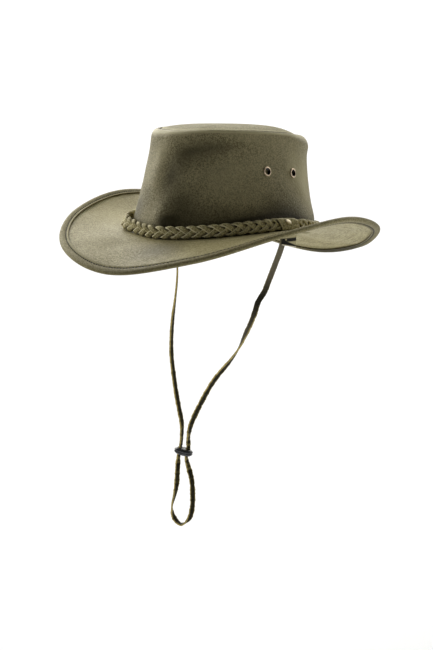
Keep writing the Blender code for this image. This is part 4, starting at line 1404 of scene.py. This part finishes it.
# Its profile from the groove up, as shares of its half height and of its width. It is the same
# from the groove down.
SLIDER_PROFILE = [
    (0.11, 0.90), (0.17, 0.985), (0.26, 1.00), (0.38, 0.985), (0.56, 0.94), (0.74, 0.87),
    (0.88, 0.79), (0.97, 0.69), (1.00, 0.60),
]


def moulded(name, colour, speck, roughness):
    plastic = Finish(name)
    rub = plastic.noise(260.0, 5.0, 0.7)
    return plastic.dressed({
        "Base Color": plastic.mixed(rub, colour, speck),
        "Roughness": plastic.ranged(rub, roughness - 0.08, roughness + 0.14),
        "Normal": plastic.relief(rub, 0.2, 0.00015),
    })


black_plastic = moulded("black_plastic", (0.012, 0.012, 0.013), (0.055, 0.057, 0.062), 0.24)
slider_angles = np.linspace(0, 360, 72, endpoint=False)
slider_rings = []
for height, share in [(-height, share) for height, share in reversed(SLIDER_PROFILE)] + SLIDER_PROFILE:
    wide, deep = SLIDER_LENGTH / 2 * share, SLIDER_DEPTH / 2 * share
    ring = oval(slider_angles, wide, deep, SLIDER_SQUARENESS)
    ring[:, 2] = height * SLIDER_HEIGHT / 2
    slider_rings.append(ring)
slider_mesh = skin("slider_button", np.stack(slider_rings), round_trip=False, capped=True)
slider = add_piece("slider_button", slider_mesh, black_plastic, sharp=50)
drill = CORD_DIAMETER / 2 + SLIDER_SLACK
drills = []
for sign in (1, -1):
    bit = turned("drill", [(drill, -SLIDER_HEIGHT), (drill, SLIDER_HEIGHT)], 40, hollow=False)
    bit.transform(Matrix.Translation((sign * SLIDER_HOLE_SPACING / 2, 0, 0)))
    drills.append(bpy.data.objects.new("drill", bit))
cut_holes(slider, drills, sharp=45)
slider.data.transform(slider_frame())
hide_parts("cord_slider")

# Camera
# At the photograph's angle: level with the front left of the brim, a little above it, and turned
# a little so that the hat lies where it does in the frame.
CAMERA_AZIMUTH = 39.7
CAMERA_ELEVATION = 6.8
CAMERA_DISTANCE = 1.100
CAMERA_ROLL = math.radians(1.15)
FRAME_WIDTH, FRAME_HEIGHT = 433, 650
FOCAL_PIXELS = 1060
SENSOR_WIDTH = 36
ORIGIN_PIXEL = (224.5, 224.9)


def towards_sky(angle, height):
    """The direction to a place round the hat and above it, both in degrees."""
    turn, rise = math.radians(angle), math.radians(height)
    return Vector((math.sin(turn) * math.cos(rise), -math.cos(turn) * math.cos(rise), math.sin(rise)))


back_way = towards_sky(CAMERA_AZIMUTH, CAMERA_ELEVATION)
right_way = towards_sky(CAMERA_AZIMUTH + 90, 0)
up_way = back_way.cross(right_way)
stand = back_way * CAMERA_DISTANCE
left_of_middle = (ORIGIN_PIXEL[0] - FRAME_WIDTH / 2) / FOCAL_PIXELS
above_middle = -(ORIGIN_PIXEL[1] - FRAME_HEIGHT / 2) / FOCAL_PIXELS
aim_x = math.cos(CAMERA_ROLL) * left_of_middle - math.sin(CAMERA_ROLL) * above_middle
aim_y = math.sin(CAMERA_ROLL) * left_of_middle + math.cos(CAMERA_ROLL) * above_middle
pitch = math.atan(aim_y)
yaw = math.atan(aim_x * math.cos(pitch))
looking = Matrix((right_way, up_way, back_way)).transposed()
looking = Matrix.Rotation(-pitch, 3, right_way) @ looking
looking = Matrix.Rotation(yaw, 3, looking.col[1]) @ looking
looking = Matrix.Rotation(CAMERA_ROLL, 3, looking.col[2]) @ looking
lens = bpy.data.cameras.new("camera")
lens.sensor_fit = "AUTO"
lens.sensor_width = SENSOR_WIDTH
lens.lens = SENSOR_WIDTH * FOCAL_PIXELS / FRAME_HEIGHT
lens.clip_start = 0.01
camera = bpy.data.objects.new("camera", lens)
camera.matrix_world = Matrix.Translation(stand) @ looking.to_4x4()
bpy.context.scene.collection.objects.link(camera)
bpy.context.scene.camera = camera

# Floor
# A white sweep of studio card. It lies well below the strap, because the hat is held up as a
# head holds it.
FLOOR_LEVEL = -0.42
FLOOR_HALF = 30
floor_mesh = bpy.data.meshes.new("floor")
floor_mesh.from_pydata(
    [(x * FLOOR_HALF, y * FLOOR_HALF, FLOOR_LEVEL) for x, y in ((-1, -1), (1, -1), (1, 1), (-1, 1))],
    [],
    [(0, 1, 2, 3)],
)
floor = bpy.data.objects.new("floor", floor_mesh)
bpy.context.scene.collection.objects.link(floor)
card = Finish("white_card")
card_tone = card.mixed(card.noise(3.0, 2.0, 0.5), (0.90, 0.912, 0.965), (0.92, 0.932, 0.98))
floor_mesh.materials.append(card.dressed({"Base Color": card_tone, "Roughness": 0.9}))

# Light
# Soft daylight from large windows: one past the wearer's right, one at the back and a weak one at
# the left, so that the rims of the crown are bright and its middle stays dark.
Window = namedtuple("Window", "name angle height spread strength")
WINDOWS = [
    Window("window_right", 270, 32, 55, 3.30),
    Window("window_back_right", 236, 22, 40, 1.55),
    Window("window_back", 184, 32, 50, 2.15),
    Window("window_left", 120, 20, 35, 0.37),
]
DAYLIGHT = (1.0, 0.985, 0.93)
for row in WINDOWS:
    daylight = bpy.data.lights.new(row.name, "SUN")
    daylight.angle = math.radians(row.spread)
    daylight.energy = row.strength
    daylight.color = DAYLIGHT
    lamp = bpy.data.objects.new(row.name, daylight)
    lamp.rotation_euler = towards_sky(row.angle, row.height).to_track_quat("Z", "Y").to_euler()
    bpy.context.scene.collection.objects.link(lamp)

# The card behind the hat is white to the camera, and adds no light of its own.
FILL = 0.0
BACKDROP = 1.2
studio = bpy.data.worlds.new("studio")
studio.use_nodes = True
nodes = studio.node_tree.nodes
sight = nodes.new("ShaderNodeLightPath")
backdrop = nodes.new("ShaderNodeMix")
backdrop.inputs[2].default_value = FILL
backdrop.inputs[3].default_value = BACKDROP
studio.node_tree.links.new(sight.outputs["Is Camera Ray"], backdrop.inputs[0])
nodes["Background"].inputs["Color"].default_value = (1, 1, 1, 1)
studio.node_tree.links.new(backdrop.outputs[0], nodes["Background"].inputs["Strength"])
bpy.context.scene.world = studio
bpy.context.scene.view_settings.view_transform = "Standard"
